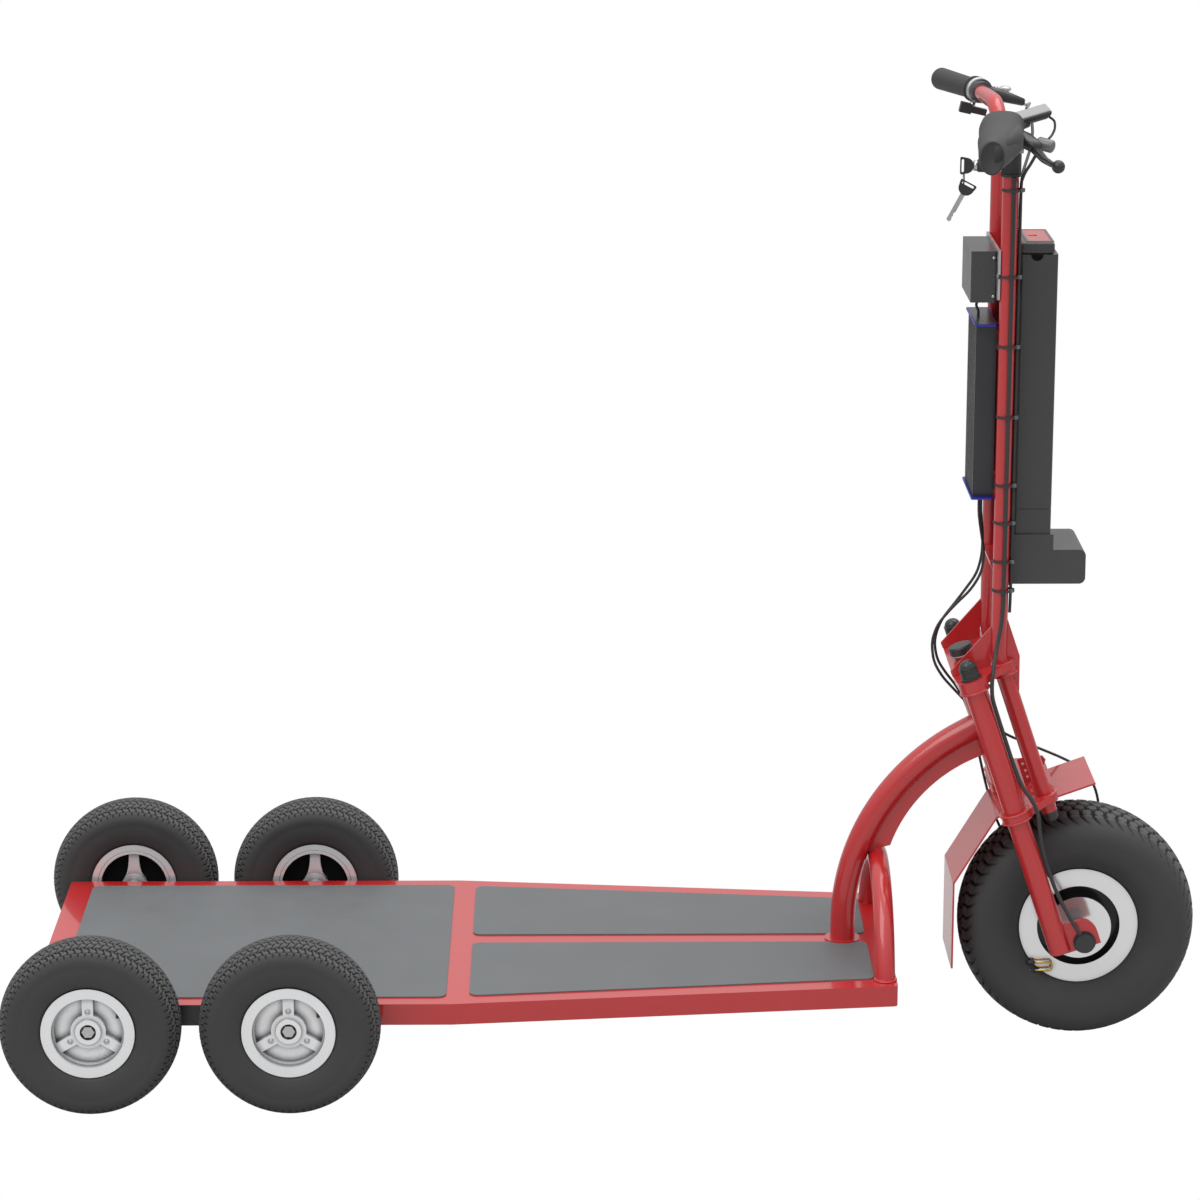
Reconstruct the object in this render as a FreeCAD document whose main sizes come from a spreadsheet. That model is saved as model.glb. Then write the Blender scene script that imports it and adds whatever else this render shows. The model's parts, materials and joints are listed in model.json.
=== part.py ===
import FreeCAD, Part
import math
import os

import Sketcher
from FreeCAD import Placement, Rotation, Vector

# Electric cargo scooter, in millimetres and degrees.
# X runs forward, Y to the rider's left and Z up, from the ground under the middle of the vehicle.
SIZES = (
    # deck tray, mats and the two rails under it
    ("deck_rear", -908),
    ("deck_kink", -249),
    ("deck_nose", 450),
    ("deck_half", 300),
    ("nose_half", 225),
    ("deck_top", 152),
    ("deck_skirt", 34),
    ("deck_steel", 3),
    ("deck_corner", 8),
    ("mat_thick", 2),
    ("mat_rear", -868),
    ("mat_front", -259),
    ("mat_half", 271),
    ("mat_corner", 14),
    ("lane_rear", -223),
    ("lane_front", 415),
    ("lane_inner", 20),
    ("lane_margin", 33),
    ("rail_offset", 150),
    ("rail_wide", 8),
    ("rail_high", 28),
    # arch, hoop and head tube
    ("arch_foot_x", 377),
    ("arch_straight", 32),
    ("arch_radius", 360),
    ("arch_turn", 61),
    ("arch_outer", 20),
    ("arch_run", 46),
    ("foot_radius", 29),
    ("foot_thick", 3),
    ("foot_gap", 1),
    ("gusset_thick", 6),
    ("hoop_x", 432),
    ("hoop_radius", 196),
    ("hoop_centre", 97),
    ("hoop_tube", 16),
    ("head_outer", 21),
    ("head_cup", 24),
    ("head_cup_high", 14),
    # rear wheels
    ("rear_axle_front", -497),
    ("rear_axle_back", -804),
    ("rear_axle_height", 140),
    ("wheel_outset", 53),
    ("rear_axle_radius", 8),
    ("rear_tyre_radius", 140),
    ("rear_seat_radius", 66),
    ("rear_flange_radius", 72),
    ("rear_rim_half", 40),
    ("rear_ring_inner", 56),
    ("rear_hub_radius", 20),
    ("rear_nut_recess", 12.5),
    ("spoke_half", 8.5),
    ("window_deep", 12),
    # steered wheel
    ("front_axle_ahead", 40.9),
    ("front_axle_radius", 7),
    ("front_tyre_radius", 190.5),
    ("motor_seat_radius", 88),
    ("motor_ring_radius", 95.5),
    ("motor_ring_inner", 66.5),
    ("motor_disc_radius", 51.5),
    ("motor_ring_half", 50),
    ("motor_disc_half", 60),
    ("motor_groove_half", 32),
    ("axle_cap_radius", 15.5),
    ("axle_cap_face", 140),
    # fork, all heights along the steering axis from the ground
    ("rake", 18.65),
    ("steer_ground", 774.6),
    ("leg_offset", 126),
    ("leg_radius", 17.5),
    ("leg_low", 183),
    ("crown_low", 645),
    ("crown_high", 660),
    ("collar_radius", 23),
    ("lower_crown_low", 418),
    ("lower_crown_high", 430),
    ("stem_radius", 14),
    ("column_ahead", 53),
    ("column_offset", 86),
    ("column_radius", 12.7),
    ("column_low", 400),
    ("column_x", 610),
    ("bar_height", 1495),
    ("column_bend", 60),
    ("bar_sweep_y", 271),
    ("bar_sweep_x", 593),
    ("bar_end_y", 412),
    ("bar_end_x", 547),
    ("sleeve_radius", 15.2),
    # fender
    ("fender_half", 73),
    ("fender_steel", 3),
    # battery and boxes
    ("battery_back", 630),
    ("battery_front", 689),
    ("battery_half", 66),
    ("battery_low", 844),
    ("battery_high", 1286),
    ("battery_cap_high", 16),
    ("base_half", 70),
    ("base_low", 764),
    ("hump_high", 819),
    ("hump_front", 744.6),
    ("box_back", 554),
    ("box_front", 593),
    ("box_half", 70),
    ("box_low", 1212),
    ("box_high", 1292),
    ("sink_back", 565),
    ("sink_front", 597),
    ("sink_half", 61),
    ("sink_low", 904),
    ("sink_high", 1175),
    ("sink_flange_half", 75),
    # clearances
    ("running_fit", 0.05),
    ("seat_gap", 0.2),
)

os.makedirs("parts", exist_ok=True)
doc = FreeCAD.newDocument("CargoScooter")
sheet = doc.addObject("Spreadsheet::Sheet", "Sizes")
for row, (alias, value) in enumerate(SIZES, 1):
    sheet.set("A%d" % row, alias)
    sheet.set("B%d" % row, str(value))
    sheet.setAlias("B%d" % row, alias)
doc.recompute()

NODES = {}
UP = Vector(0, 0, 1)
SIDES = (("right", -1), ("left", 1))


def size(alias):
    return float(getattr(sheet, alias))


# The fork frame: its Z runs up the steering axis from the ground, its X forward, square to the axis.
FORK = Placement(Vector(size("steer_ground"), 0, 0), Rotation(Vector(0, 1, 0), -size("rake")))


def from_fork(x, y, z):
    return FORK.multVec(Vector(x, y, z))


def front_axle_up():
    # The height along the steering axis at which the front tyre just meets the ground.
    rake = math.radians(size("rake"))
    return (size("front_tyre_radius") - size("front_axle_ahead") * math.sin(rake)) / math.cos(rake)


def keep(label, thing, placement=None):
    thing.Label = label
    if placement is not None:
        thing.Placement = placement
    NODES[label] = thing
    return thing


def solid_node(label, shapes, placement=None):
    # One node from shapes that are joined where they touch, else kept apart.
    shape = shapes[0]
    if len(shapes) > 1:
        shape = Part.makeCompound(shapes)
    thing = doc.addObject("Part::Feature", "Solid_" + label)
    thing.Shape = shape
    return keep(label, thing, placement)


def joined(shapes):
    shape = shapes[0].fuse(shapes[1:]).removeSplitter()
    return shape


def box(x, y, z):
    # A box from three (low, high) pairs.
    low = Vector(x[0], y[0], z[0])
    return Part.makeBox(x[1] - x[0], y[1] - y[0], z[1] - z[0], low)


def rod(radius, start, end):
    along = end - start
    return Part.makeCylinder(radius, along.Length, start, along)


def bent_wire(points, bends):
    # Straight runs joined by tangent arcs. Without radii, each arc takes 0.45 of the shorter run.
    spots = [Vector(*point) for point in points]
    edges = []
    here = spots[0]
    for index in range(1, len(spots) - 1):
        before, corner, after = spots[index - 1:index + 2]
        come = (corner - before).normalize()
        leave = (after - corner).normalize()
        half_turn = come.getAngle(leave) / 2
        shorter = min((corner - before).Length, (after - corner).Length)
        radius = 0.45 * shorter / math.tan(half_turn)
        if bends is not None:
            radius = bends[index - 1]
        cut = radius * math.tan(half_turn)
        first = corner - come * cut
        last = corner + leave * cut
        inward = (leave - come).normalize()
        middle = corner + inward * (radius / math.cos(half_turn) - radius)
        if (first - here).Length > 1e-3:
            edges.append(Part.LineSegment(here, first).toShape())
        edges.append(Part.Arc(first, middle, last).toShape())
        here = last
    edges.append(Part.LineSegment(here, spots[-1]).toShape())
    return Part.Wire(edges)


def tube(points, radius, bends=None):
    # A round bar along the path, with its volume compared with section times length.
    wire = bent_wire(points, bends)
    start = Vector(*points[0])
    heading = Vector(*points[1]) - start
    ring = Part.Wire(Part.makeCircle(radius, start, heading))
    solid = wire.makePipeShell([ring], True, False)
    expected = math.pi * radius ** 2 * wire.Length
    if abs(solid.Volume / expected - 1) > 0.02:
        raise RuntimeError("a tube's volume is off: %.0f for %.0f" % (solid.Volume, expected))
    return solid


def belt(discs, low, high):
    # A slab whose outline is a belt pulled round discs (x, y, radius) listed anticlockwise.
    normals = []
    for (x0, y0, r0), (x1, y1, r1) in zip(discs, discs[1:] + discs[:1]):
        heading = math.atan2(y1 - y0, x1 - x0)
        normals.append(heading - math.acos((r0 - r1) / math.hypot(x1 - x0, y1 - y0)))

    def on_disc(disc, angle):
        return Vector(disc[0] + disc[2] * math.cos(angle), disc[1] + disc[2] * math.sin(angle), low)

    edges = []
    for index, disc in enumerate(discs):
        arrive = normals[index - 1]
        turn = (normals[index] - arrive) % (2 * math.pi)
        start = on_disc(disc, arrive)
        end = on_disc(disc, arrive + turn)
        if turn > 1e-4:
            edges.append(Part.Arc(start, on_disc(disc, arrive + turn / 2), end).toShape())
        following = discs[(index + 1) % len(discs)]
        edges.append(Part.LineSegment(end, on_disc(following, normals[index])).toShape())
    return Part.Face(Part.Wire(edges)).extrude(Vector(0, 0, high - low))


def plate_xz(points, y, thick):
    # A flat plate in an XZ plane, centred on y, from (x, z) corners.
    corners = [Vector(x, y - thick / 2, z) for x, z in points]
    face = Part.Face(Part.makePolygon(corners + corners[:1]))
    return face.extrude(Vector(0, thick, 0))


def new_body(name):
    return doc.addObject("PartDesign::Body", name)


def origin_plane(body, role):
    return next(plane for plane in body.Origin.OriginFeatures if plane.Role == role)


def sketch_on(body, role, name):
    sketch = body.newObject("Sketcher::SketchObject", name)
    sketch.AttachmentSupport = (origin_plane(body, role), [""])
    sketch.MapMode = "FlatFace"
    return sketch


def bound_outline(body, role, name, corners):
    # A closed polygon whose every corner is held by two expressions in the sheet's sizes.
    sketch = sketch_on(body, role, name)
    spots = [(float(sketch.evalExpression(x)), float(sketch.evalExpression(y))) for x, y in corners]
    for index, (x, y) in enumerate(spots):
        next_x, next_y = spots[(index + 1) % len(spots)]
        sketch.addGeometry(Part.LineSegment(Vector(x, y, 0), Vector(next_x, next_y, 0)), False)
    for index in range(len(spots)):
        sketch.addConstraint(Sketcher.Constraint("Coincident", index, 2, (index + 1) % len(spots), 1))
    for index, texts in enumerate(corners):
        for kind, text, value in zip(("DistanceX", "DistanceY"), texts, spots[index]):
            held = sketch.addConstraint(Sketcher.Constraint(kind, -1, 1, index, 1, value))
            sketch.setExpression("Constraints[%d]" % held, text)
    return sketch


def rectangle(body, role, name, x_low, x_high, y_low, y_high):
    corners = ((x_low, y_low), (x_high, y_low), (x_high, y_high), (x_low, y_high))
    return bound_outline(body, role, name, corners)


def free_outline(body, role, name, items):
    # A closed outline of corners (x, y); an item with three entries bends through that point.
    sketch = sketch_on(body, role, name)
    corners = list(items) + [items[0]]
    via = None
    here = None
    for item in corners:
        spot = Vector(item[0], item[1], 0)
        if len(item) == 3:
            via = spot
        elif here is None:
            here = spot
        else:
            piece = Part.LineSegment(here, spot) if via is None else Part.Arc(here, via, spot)
            sketch.addGeometry(piece, False)
            here = spot
            via = None
    return sketch


def pad(body, sketch, length, middle=False):
    feature = body.newObject("PartDesign::Pad", sketch.Name + "Pad")
    feature.Profile = sketch
    feature.setExpression("Length", length)
    feature.Midplane = middle
    sketch.Visibility = False
    return feature


def pocket(body, sketch, length, against=False, middle=False):
    feature = body.newObject("PartDesign::Pocket", sketch.Name + "Pocket")
    feature.Profile = sketch
    feature.setExpression("Length", length)
    feature.Reversed = against
    feature.Midplane = middle
    return feature


def revolve(body, sketch, axis="V_Axis"):
    feature = body.newObject("PartDesign::Revolution", sketch.Name + "Turn")
    feature.Profile = sketch
    feature.ReferenceAxis = (sketch, [axis])
    feature.Angle = 360
    return feature


def around(body, feature, count):
    pattern = body.newObject("PartDesign::PolarPattern", feature.Name + "Round")
    pattern.Originals = [feature]
    pattern.Axis = (next(axis for axis in body.Origin.OriginFeatures if axis.Role == "Z_Axis"), [""])
    pattern.Angle = 360
    pattern.Occurrences = count
    body.Tip = pattern
    return pattern


def soften(body, base, radius, chosen):
    # Fillets the edges of a feature for which chosen(edge) holds.
    doc.recompute()
    names = ["Edge%d" % index for index, edge in enumerate(base.Shape.Edges, 1) if chosen(edge)]
    feature = body.newObject("PartDesign::Fillet", base.Name + "Soft")
    feature.Base = (base, names)
    feature.setExpression("Radius", radius)
    return feature


def upright(edge):
    first, last = edge.Vertexes[0].Point, edge.Vertexes[-1].Point
    return math.hypot(first.x - last.x, first.y - last.y) < 1e-6 and abs(first.z - last.z) > 1


# Deck: a folded tray with its rim turned down, two rails under it and three anti-slip mats.
def make_deck_tray():
    body = new_body("DeckTray")
    corners = (
        ("Sizes.deck_rear", "-Sizes.deck_half"),
        ("Sizes.deck_kink", "-Sizes.deck_half"),
        ("Sizes.deck_nose", "-Sizes.nose_half"),
        ("Sizes.deck_nose", "Sizes.nose_half"),
        ("Sizes.deck_kink", "Sizes.deck_half"),
        ("Sizes.deck_rear", "Sizes.deck_half"),
    )
    block = pad(body, bound_outline(body, "XY_Plane", "TrayOutline", corners), "Sizes.deck_skirt")
    rounded = soften(body, block, "Sizes.deck_corner", upright)
    doc.recompute()
    full = rounded.Shape.Volume
    steel = " - Sizes.deck_steel"
    inner = (
        ("Sizes.deck_rear + Sizes.deck_steel", "-Sizes.deck_half + Sizes.deck_steel"),
        ("Sizes.deck_kink", "-Sizes.deck_half + Sizes.deck_steel"),
        ("Sizes.deck_nose" + steel, "-Sizes.nose_half + Sizes.deck_steel"),
        ("Sizes.deck_nose" + steel, "Sizes.nose_half" + steel),
        ("Sizes.deck_kink", "Sizes.deck_half" + steel),
        ("Sizes.deck_rear + Sizes.deck_steel", "Sizes.deck_half" + steel),
    )
    hollow = bound_outline(body, "XY_Plane", "TrayHollow", inner)
    pocket(body, hollow, "Sizes.deck_skirt - Sizes.deck_steel", against=True)
    holes = sketch_on(body, "XZ_Plane", "AxleHoles")
    height = size("rear_axle_height") - size("deck_top") + size("deck_skirt")
    for axle in ("rear_axle_front", "rear_axle_back"):
        centre = Vector(size(axle), height, 0)
        radius = size("rear_axle_radius") + size("seat_gap")
        holes.addGeometry(Part.Circle(centre, UP, radius), False)
    pocket(body, holes, "Sizes.deck_half * 3", middle=True)
    doc.recompute()
    if body.Shape.Volume > full * 0.3:
        raise RuntimeError("the tray was not hollowed")
    keep("deck_tray", body, Placement(Vector(0, 0, size("deck_top") - size("deck_skirt")), Rotation()))


def make_deck_rails():
    top = size("deck_top") - size("deck_steel") - size("seat_gap")
    rails = []
    for name, side in SIDES:
        middle = side * size("rail_offset")
        half = size("rail_wide") / 2
        lengthwise = (size("deck_rear") + 2 * size("deck_steel"), size("deck_nose") - 2 * size("deck_steel"))
        bar = box(lengthwise, (middle - half, middle + half), (top - size("rail_high"), top))
        for axle in ("rear_axle_front", "rear_axle_back"):
            start = Vector(size(axle), middle - 2 * half, size("rear_axle_height"))
            hole = rod(size("rear_axle_radius") + size("seat_gap"), start, start + Vector(0, 4 * half, 0))
            bar = bar.cut(hole)
        rails.append(bar)
    solid_node("deck_rails", rails)


def make_mats():
    body = new_body("RearMat")
    mat = pad(
        body,
        rectangle(body, "XY_Plane", "RearMatOutline", "Sizes.mat_rear", "Sizes.mat_front",
                  "-Sizes.mat_half", "Sizes.mat_half"),
        "Sizes.mat_thick",
    )
    soften(body, mat, "Sizes.mat_corner", upright)
    on_deck = Placement(Vector(0, 0, size("deck_top")), Rotation())
    keep("rear_mat", body, on_deck)

    taper = (size("deck_half") - size("nose_half")) / (size("deck_nose") - size("deck_kink"))

    def outer_edge(x):
        return size("deck_half") - (x - size("deck_kink")) * taper - size("lane_margin")

    corner = size("mat_corner")
    # Each lane is notched round the foot of the arch.
    at_foot = Vector(size("arch_foot_x"), 0, 0)
    foot = rod(size("foot_radius") + size("foot_gap"), at_foot, at_foot + UP * 2 * size("mat_thick"))
    lanes = []
    for name, side in SIDES:
        discs = [
            (size("lane_rear") + corner, side * (size("lane_inner") + corner), corner),
            (size("lane_front") - corner, side * (size("lane_inner") + corner), corner),
            (size("lane_front") - corner, side * (outer_edge(size("lane_front")) - corner), corner),
            (size("lane_rear") + corner, side * (outer_edge(size("lane_rear")) - corner), corner),
        ]
        if side < 0:
            discs.reverse()
        lanes.append(belt(discs, 0, size("mat_thick")).cut(foot))
    solid_node("front_mats", lanes, on_deck)


# Front frame: a single arch up to the head tube, a hoop across the deck's nose and a web between.
def head_clearance():
    # What the head tube fills, a little enlarged, for coping what is welded to it.
    reach = size("head_outer") + size("seat_gap")
    return rod(reach, from_fork(0, 0, size("lower_crown_high")), from_fork(0, 0, size("crown_low")))


def arch_points():
    turn = math.radians(size("arch_turn"))
    corner_rise = size("arch_radius") * math.tan(turn / 2)
    foot = Vector(size("arch_foot_x"), 0, size("deck_top"))
    corner = foot + Vector(0, 0, size("arch_straight") + corner_rise)
    reach = corner_rise + size("arch_run")
    end = corner + Vector(math.sin(turn), 0, math.cos(turn)) * reach
    return foot, corner, end


def make_arch():
    points = [tuple(point) for point in arch_points()]
    bar = tube(points, size("arch_outer"), [size("arch_radius")]).cut(head_clearance())
    bar = max(bar.Solids, key=lambda piece: piece.Volume)
    foot = Vector(*points[0])
    flange = Part.makeCylinder(size("foot_radius"), size("foot_thick"), foot)
    solid_node("main_arch_tube", [joined([bar, flange])])


def make_arch_gusset():
    # A crescent between the arch's inner side and an arc from the hoop's top to the head tube.
    centre = Vector(size("arch_foot_x") + size("arch_radius"), 0, size("deck_top") + size("arch_straight"))
    outer = size("arch_radius") - size("arch_outer") - size("seat_gap")
    low = size("hoop_centre") + size("hoop_radius") + size("hoop_tube") + size("seat_gap")

    def on_arch(height):
        rise = height - centre.z
        return Vector(centre.x - math.sqrt(outer ** 2 - rise ** 2), 0, height)

    foot_inner = Vector(452, 0, low)
    through = Vector(512, 0, 408)
    tip = Vector(612, 0, 468)
    start = on_arch(low)
    shoulder = on_arch(440)
    far = shoulder + Vector(110, 0, 61)
    edges = [
        Part.Arc(start, on_arch(380), shoulder).toShape(),
        Part.LineSegment(shoulder, far).toShape(),
        Part.LineSegment(far, tip).toShape(),
        Part.Arc(tip, through, foot_inner).toShape(),
        Part.LineSegment(foot_inner, start).toShape(),
    ]
    thick = size("gusset_thick")
    web = Part.Face(Part.Wire(edges)).extrude(Vector(0, thick, 0))
    web.translate(Vector(0, -thick / 2, 0))
    points = [tuple(point) for point in arch_points()]
    arch = tube(points, size("arch_outer") + size("seat_gap"), [size("arch_radius")])
    web = web.cut(arch).cut(head_clearance())
    web = max(web.Solids, key=lambda piece: piece.Volume)
    solid_node("arch_gusset", [web])


def make_hoop():
    centre = Vector(size("hoop_x"), 0, size("hoop_centre"))
    ring = Part.makeTorus(size("hoop_radius"), size("hoop_tube"), centre, Vector(1, 0, 0))
    reach = size("hoop_radius") + 2 * size("hoop_tube")
    across = (size("hoop_x") - 2 * size("hoop_tube"), size("hoop_x") + 2 * size("hoop_tube"))
    above = box(across, (-reach, reach), (size("deck_top"), size("deck_top") + reach))
    solid_node("front_hoop", [ring.common(above)])


def make_head_tube():
    body = new_body("HeadTube")
    bore = size("stem_radius") + size("running_fit")
    low = size("lower_crown_high") + 0.5
    high = size("crown_low") - 0.5
    cup = size("head_cup_high")
    profile = (
        (bore, low),
        (size("head_cup"), low),
        (size("head_cup"), low + cup),
        (size("head_outer"), low + cup),
        (size("head_outer"), high - cup),
        (size("head_cup"), high - cup),
        (size("head_cup"), high),
        (bore, high),
    )
    revolve(body, free_outline(body, "XZ_Plane", "HeadProfile", profile))
    keep("head_tube", body, FORK)


# Rear wheels: four alike, each a tyre on a three-spoked rim that turns on a fixed axle.
def rear_track():
    # The wheels' middles stand outside the deck's sides.
    return size("deck_half") + size("wheel_outset")


def make_rear_axles():
    axles = []
    end = rear_track() + 33
    spacer = (size("deck_half") + size("seat_gap"), rear_track() - size("rear_rim_half") + 3.5)
    for alias in ("rear_axle_front", "rear_axle_back"):
        middle = Vector(size(alias), 0, size("rear_axle_height"))
        pieces = [rod(size("rear_axle_radius"), middle - Vector(0, end, 0), middle + Vector(0, end, 0))]
        for name, side in SIDES:
            start, stop = [middle + Vector(0, side * y, 0) for y in spacer]
            pieces.append(rod(11, start, stop))
            face = Part.Face(Part.makePolygon([
                middle + Vector(9.8 * math.cos(math.radians(60 * k)), side * (end - 7), 0)
                + Vector(0, 0, 9.8 * math.sin(math.radians(60 * k)))
                for k in range(7)
            ]))
            pieces.append(face.extrude(Vector(0, side * 8, 0)))
        axles.append(joined(pieces))
    solid_node("rear_axles", axles)


def make_rear_rim(label, placement):
    body = new_body("Rim" + label[-2:])
    half = size("rear_rim_half")
    seat = size("rear_seat_radius")
    flange = size("rear_flange_radius")
    bore = size("rear_axle_radius") + size("running_fit")
    recess = size("rear_nut_recess")
    profile = (
        (bore, -half + 4),
        (size("rear_hub_radius"), -half + 4),
        (size("rear_hub_radius"), 10),
        (size("rear_ring_inner"), 14),
        (seat - 4, -half),
        (flange, -half),
        (flange, -half + 4),
        (seat, -half + 4),
        (seat, half - 4),
        (flange, half - 4),
        (flange, half),
        (size("rear_ring_inner"), half),
        (size("rear_ring_inner"), 31),
        (recess + 8, 31),
        (recess + 7, 35),
        (recess, 35),
        (recess, 24),
        (bore, 24),
    )
    revolve(body, free_outline(body, "XZ_Plane", "RimProfile" + label[-2:], profile))
    # Each window lies between two spokes, whose middles are at 90 and 330 degrees.
    wide = size("spoke_half")
    inner = size("rear_hub_radius") + 7
    outer = size("rear_ring_inner") - 3

    def corner(radius, far_side):
        angle = math.asin(wide / radius)
        start = math.radians(90) - angle
        if far_side:
            start = math.radians(-30) + angle
        return radius * math.cos(start), radius * math.sin(start)

    bisector = math.radians(30)
    window = (
        corner(inner, False),
        corner(outer, False),
        (outer * math.cos(bisector), outer * math.sin(bisector), "via"),
        corner(outer, True),
        corner(inner, True),
        (inner * math.cos(bisector), inner * math.sin(bisector), "via"),
    )
    sketch = free_outline(body, "XY_Plane", "Window" + label[-2:], window)
    sketch.AttachmentOffset = Placement(Vector(0, 0, 31), Rotation())
    doc.recompute()
    before = body.Shape.Volume
    cut = pocket(body, sketch, "Sizes.window_deep")
    around(body, cut, 3)
    doc.recompute()
    if body.Shape.Volume > before * 0.97:
        raise RuntimeError("the rim's windows cut nothing")
    keep(label, body, placement)


def make_tyre(label, placement, profile):
    body = new_body(label.title().replace("_", ""))
    revolve(body, free_outline(body, "XZ_Plane", label.title().replace("_", "") + "Profile", profile))
    keep(label, body, placement)


def rear_tyre_profile():
    seat = size("rear_seat_radius") + size("seat_gap")
    lip = size("rear_flange_radius") + 0.6
    edge = size("rear_rim_half") - 4 - size("seat_gap")
    crown = size("rear_tyre_radius")
    side = (
        (seat, edge),
        (lip, edge),
        (lip + 2, edge + 4),
        (91, 46, "via"),
        (108, 47),
        (124, 45, "via"),
        (132, 37),
    )
    other = [(item[0], -item[1]) + item[2:] for item in reversed(side)]
    return list(side) + [(crown, 0, "via")] + other


def make_rear_wheels():
    for alias, row in (("rear_axle_front", "1"), ("rear_axle_back", "2")):
        for name, side in SIDES:
            middle = Vector(size(alias), side * rear_track(), size("rear_axle_height"))
            outward = Rotation(Vector(1, 0, 0), 90)
            if side > 0:
                outward = Rotation(Vector(1, 0, 0), -90).multiply(Rotation(UP, 180))
            tag = row + name[0].upper()
            place = Placement(middle, outward)
            make_rear_rim("rear_rim_" + tag, place)
            make_tyre("rear_tyre_" + tag, place, rear_tyre_profile())


# Steered wheel: a hub motor whose stepped covers carry the tyre, turning on a fixed axle.
def front_wheel_place():
    middle = from_fork(size("front_axle_ahead"), 0, front_axle_up())
    return Placement(middle, Rotation(Vector(1, 0, 0), 90))


def make_front_motor():
    body = new_body("FrontMotor")
    bore = size("front_axle_radius") + size("running_fit")
    side = (
        (bore, size("motor_disc_half")),
        (size("motor_disc_radius"), size("motor_disc_half")),
        (size("motor_disc_radius"), size("motor_groove_half")),
        (size("motor_ring_inner"), size("motor_groove_half")),
        (size("motor_ring_inner"), size("motor_ring_half")),
        (size("motor_ring_radius"), size("motor_ring_half")),
        (size("motor_ring_radius"), size("motor_ring_half") - 4),
        (size("motor_seat_radius"), size("motor_ring_half") - 4),
    )
    other = [(radius, -high) for radius, high in reversed(side)]
    revolve(body, free_outline(body, "XZ_Plane", "MotorProfile", list(side) + other))
    keep("front_motor", body, front_wheel_place())


def make_front_tyre():
    edge = size("motor_ring_half") - 4 - size("seat_gap")
    lip = size("motor_ring_radius") + 0.6
    side = (
        (size("motor_seat_radius") + size("seat_gap"), edge),
        (lip, edge),
        (lip + 2, edge + 5),
        (118, 68, "via"),
        (143, 74),
        (165, 70, "via"),
        (177, 58),
    )
    other = [(item[0], -item[1]) + item[2:] for item in reversed(side)]
    profile = list(side) + [(size("front_tyre_radius"), 0, "via")] + other
    make_tyre("front_tyre", front_wheel_place(), profile)


def make_front_axle():
    # Columns: radius, low and high distance from the middle, on both sides.
    steps = ((11, 60.5, 121.6), (18, 130.3, 132.5), (size("axle_cap_radius"), 132.5, size("axle_cap_face")))
    middle = from_fork(size("front_axle_ahead"), 0, front_axle_up())
    reach = Vector(0, size("axle_cap_face") - 2, 0)
    pieces = [rod(size("front_axle_radius"), middle - reach, middle + reach)]
    for radius, low, high in steps:
        for name, side in SIDES:
            pieces.append(rod(radius, middle + Vector(0, side * low, 0), middle + Vector(0, side * high, 0)))
    solid_node("front_axle", [joined(pieces)])


# Fork: two legs between two crowns, each leg with a slotted plate that reaches forward to the axle.
def make_fork_legs():
    ahead = size("front_axle_ahead")
    up = front_axle_up()
    for name, side in SIDES:
        y = side * size("leg_offset")
        leg = rod(size("leg_radius"), Vector(0, y, size("leg_low")), Vector(0, y, size("crown_high")))
        plate = plate_xz(((5, up - 9.6), (ahead + 24.9, up - 9.6), (ahead + 24.9, up + 13), (5, up + 13)), y, 8)
        crest = rod(24.9, Vector(ahead, y - 4, up + 13), Vector(ahead, y + 4, up + 13))
        arm = plate_xz(((5, up), (ahead, up), (ahead, up + 37.9), (5, up + 37.9)), y, 8)
        slot = plate_xz(((ahead - 7.3, up - 20), (ahead + 7.3, up - 20), (ahead + 7.3, up), (ahead - 7.3, up)), y, 12)
        seat = rod(7.3, Vector(ahead, y - 6, up), Vector(ahead, y + 6, up))
        shape = joined([leg, plate, crest, arm]).cut(slot).cut(seat)
        solid_node("fork_leg_" + name, [shape], FORK)


def make_leg_caps():
    # Revolved: a flange, a slightly tapered barrel and a rounded top.
    outline = Part.Wire([
        Part.LineSegment(Vector(0, 0, 0), Vector(16.5, 0, 0)).toShape(),
        Part.LineSegment(Vector(16.5, 0, 0), Vector(16.5, 0, 3)).toShape(),
        Part.LineSegment(Vector(16.5, 0, 3), Vector(14.5, 0, 4)).toShape(),
        Part.LineSegment(Vector(14.5, 0, 4), Vector(13.2, 0, 19)).toShape(),
        Part.Arc(Vector(13.2, 0, 19), Vector(10.4, 0, 26.8), Vector(3, 0, 31)).toShape(),
        Part.LineSegment(Vector(3, 0, 31), Vector(0, 0, 31)).toShape(),
        Part.LineSegment(Vector(0, 0, 31), Vector(0, 0, 0)).toShape(),
    ])
    cap = Part.Face(outline).revolve(Vector(0, 0, 0), UP, 360)
    caps = []
    for name, side in SIDES:
        one = cap.copy()
        one.translate(Vector(0, side * size("leg_offset"), size("crown_high") + size("seat_gap")))
        caps.append(one)
    solid_node("leg_caps", caps, FORK)


def column_path(side):
    low = from_fork(size("column_ahead"), side * size("column_offset"), size("column_low"))
    rake = math.radians(size("rake"))
    # The raked stretch meets the upright one where its X equals the column's.
    along = (size("steer_ground") + size("column_ahead") * math.cos(rake) - size("column_x")) / math.sin(rake)
    knee = from_fork(size("column_ahead"), side * size("column_offset"), along)
    shoulder = (size("column_x"), side * size("column_offset"), size("bar_height"))
    sweep = (size("bar_sweep_x"), side * size("bar_sweep_y"), size("bar_height"))
    end = (size("bar_end_x"), side * size("bar_end_y"), size("bar_height"))
    return [tuple(low), tuple(knee), shoulder, sweep, end], [size("column_bend"), size("column_bend"), 110]


def column_bar(side, radius):
    points, bends = column_path(side)
    return tube(points, radius, bends)


def column_clearance():
    # Both column bars a little enlarged, for coping what is fixed to them.
    return [column_bar(side, size("column_radius") + size("seat_gap")) for name, side in SIDES]


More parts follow.
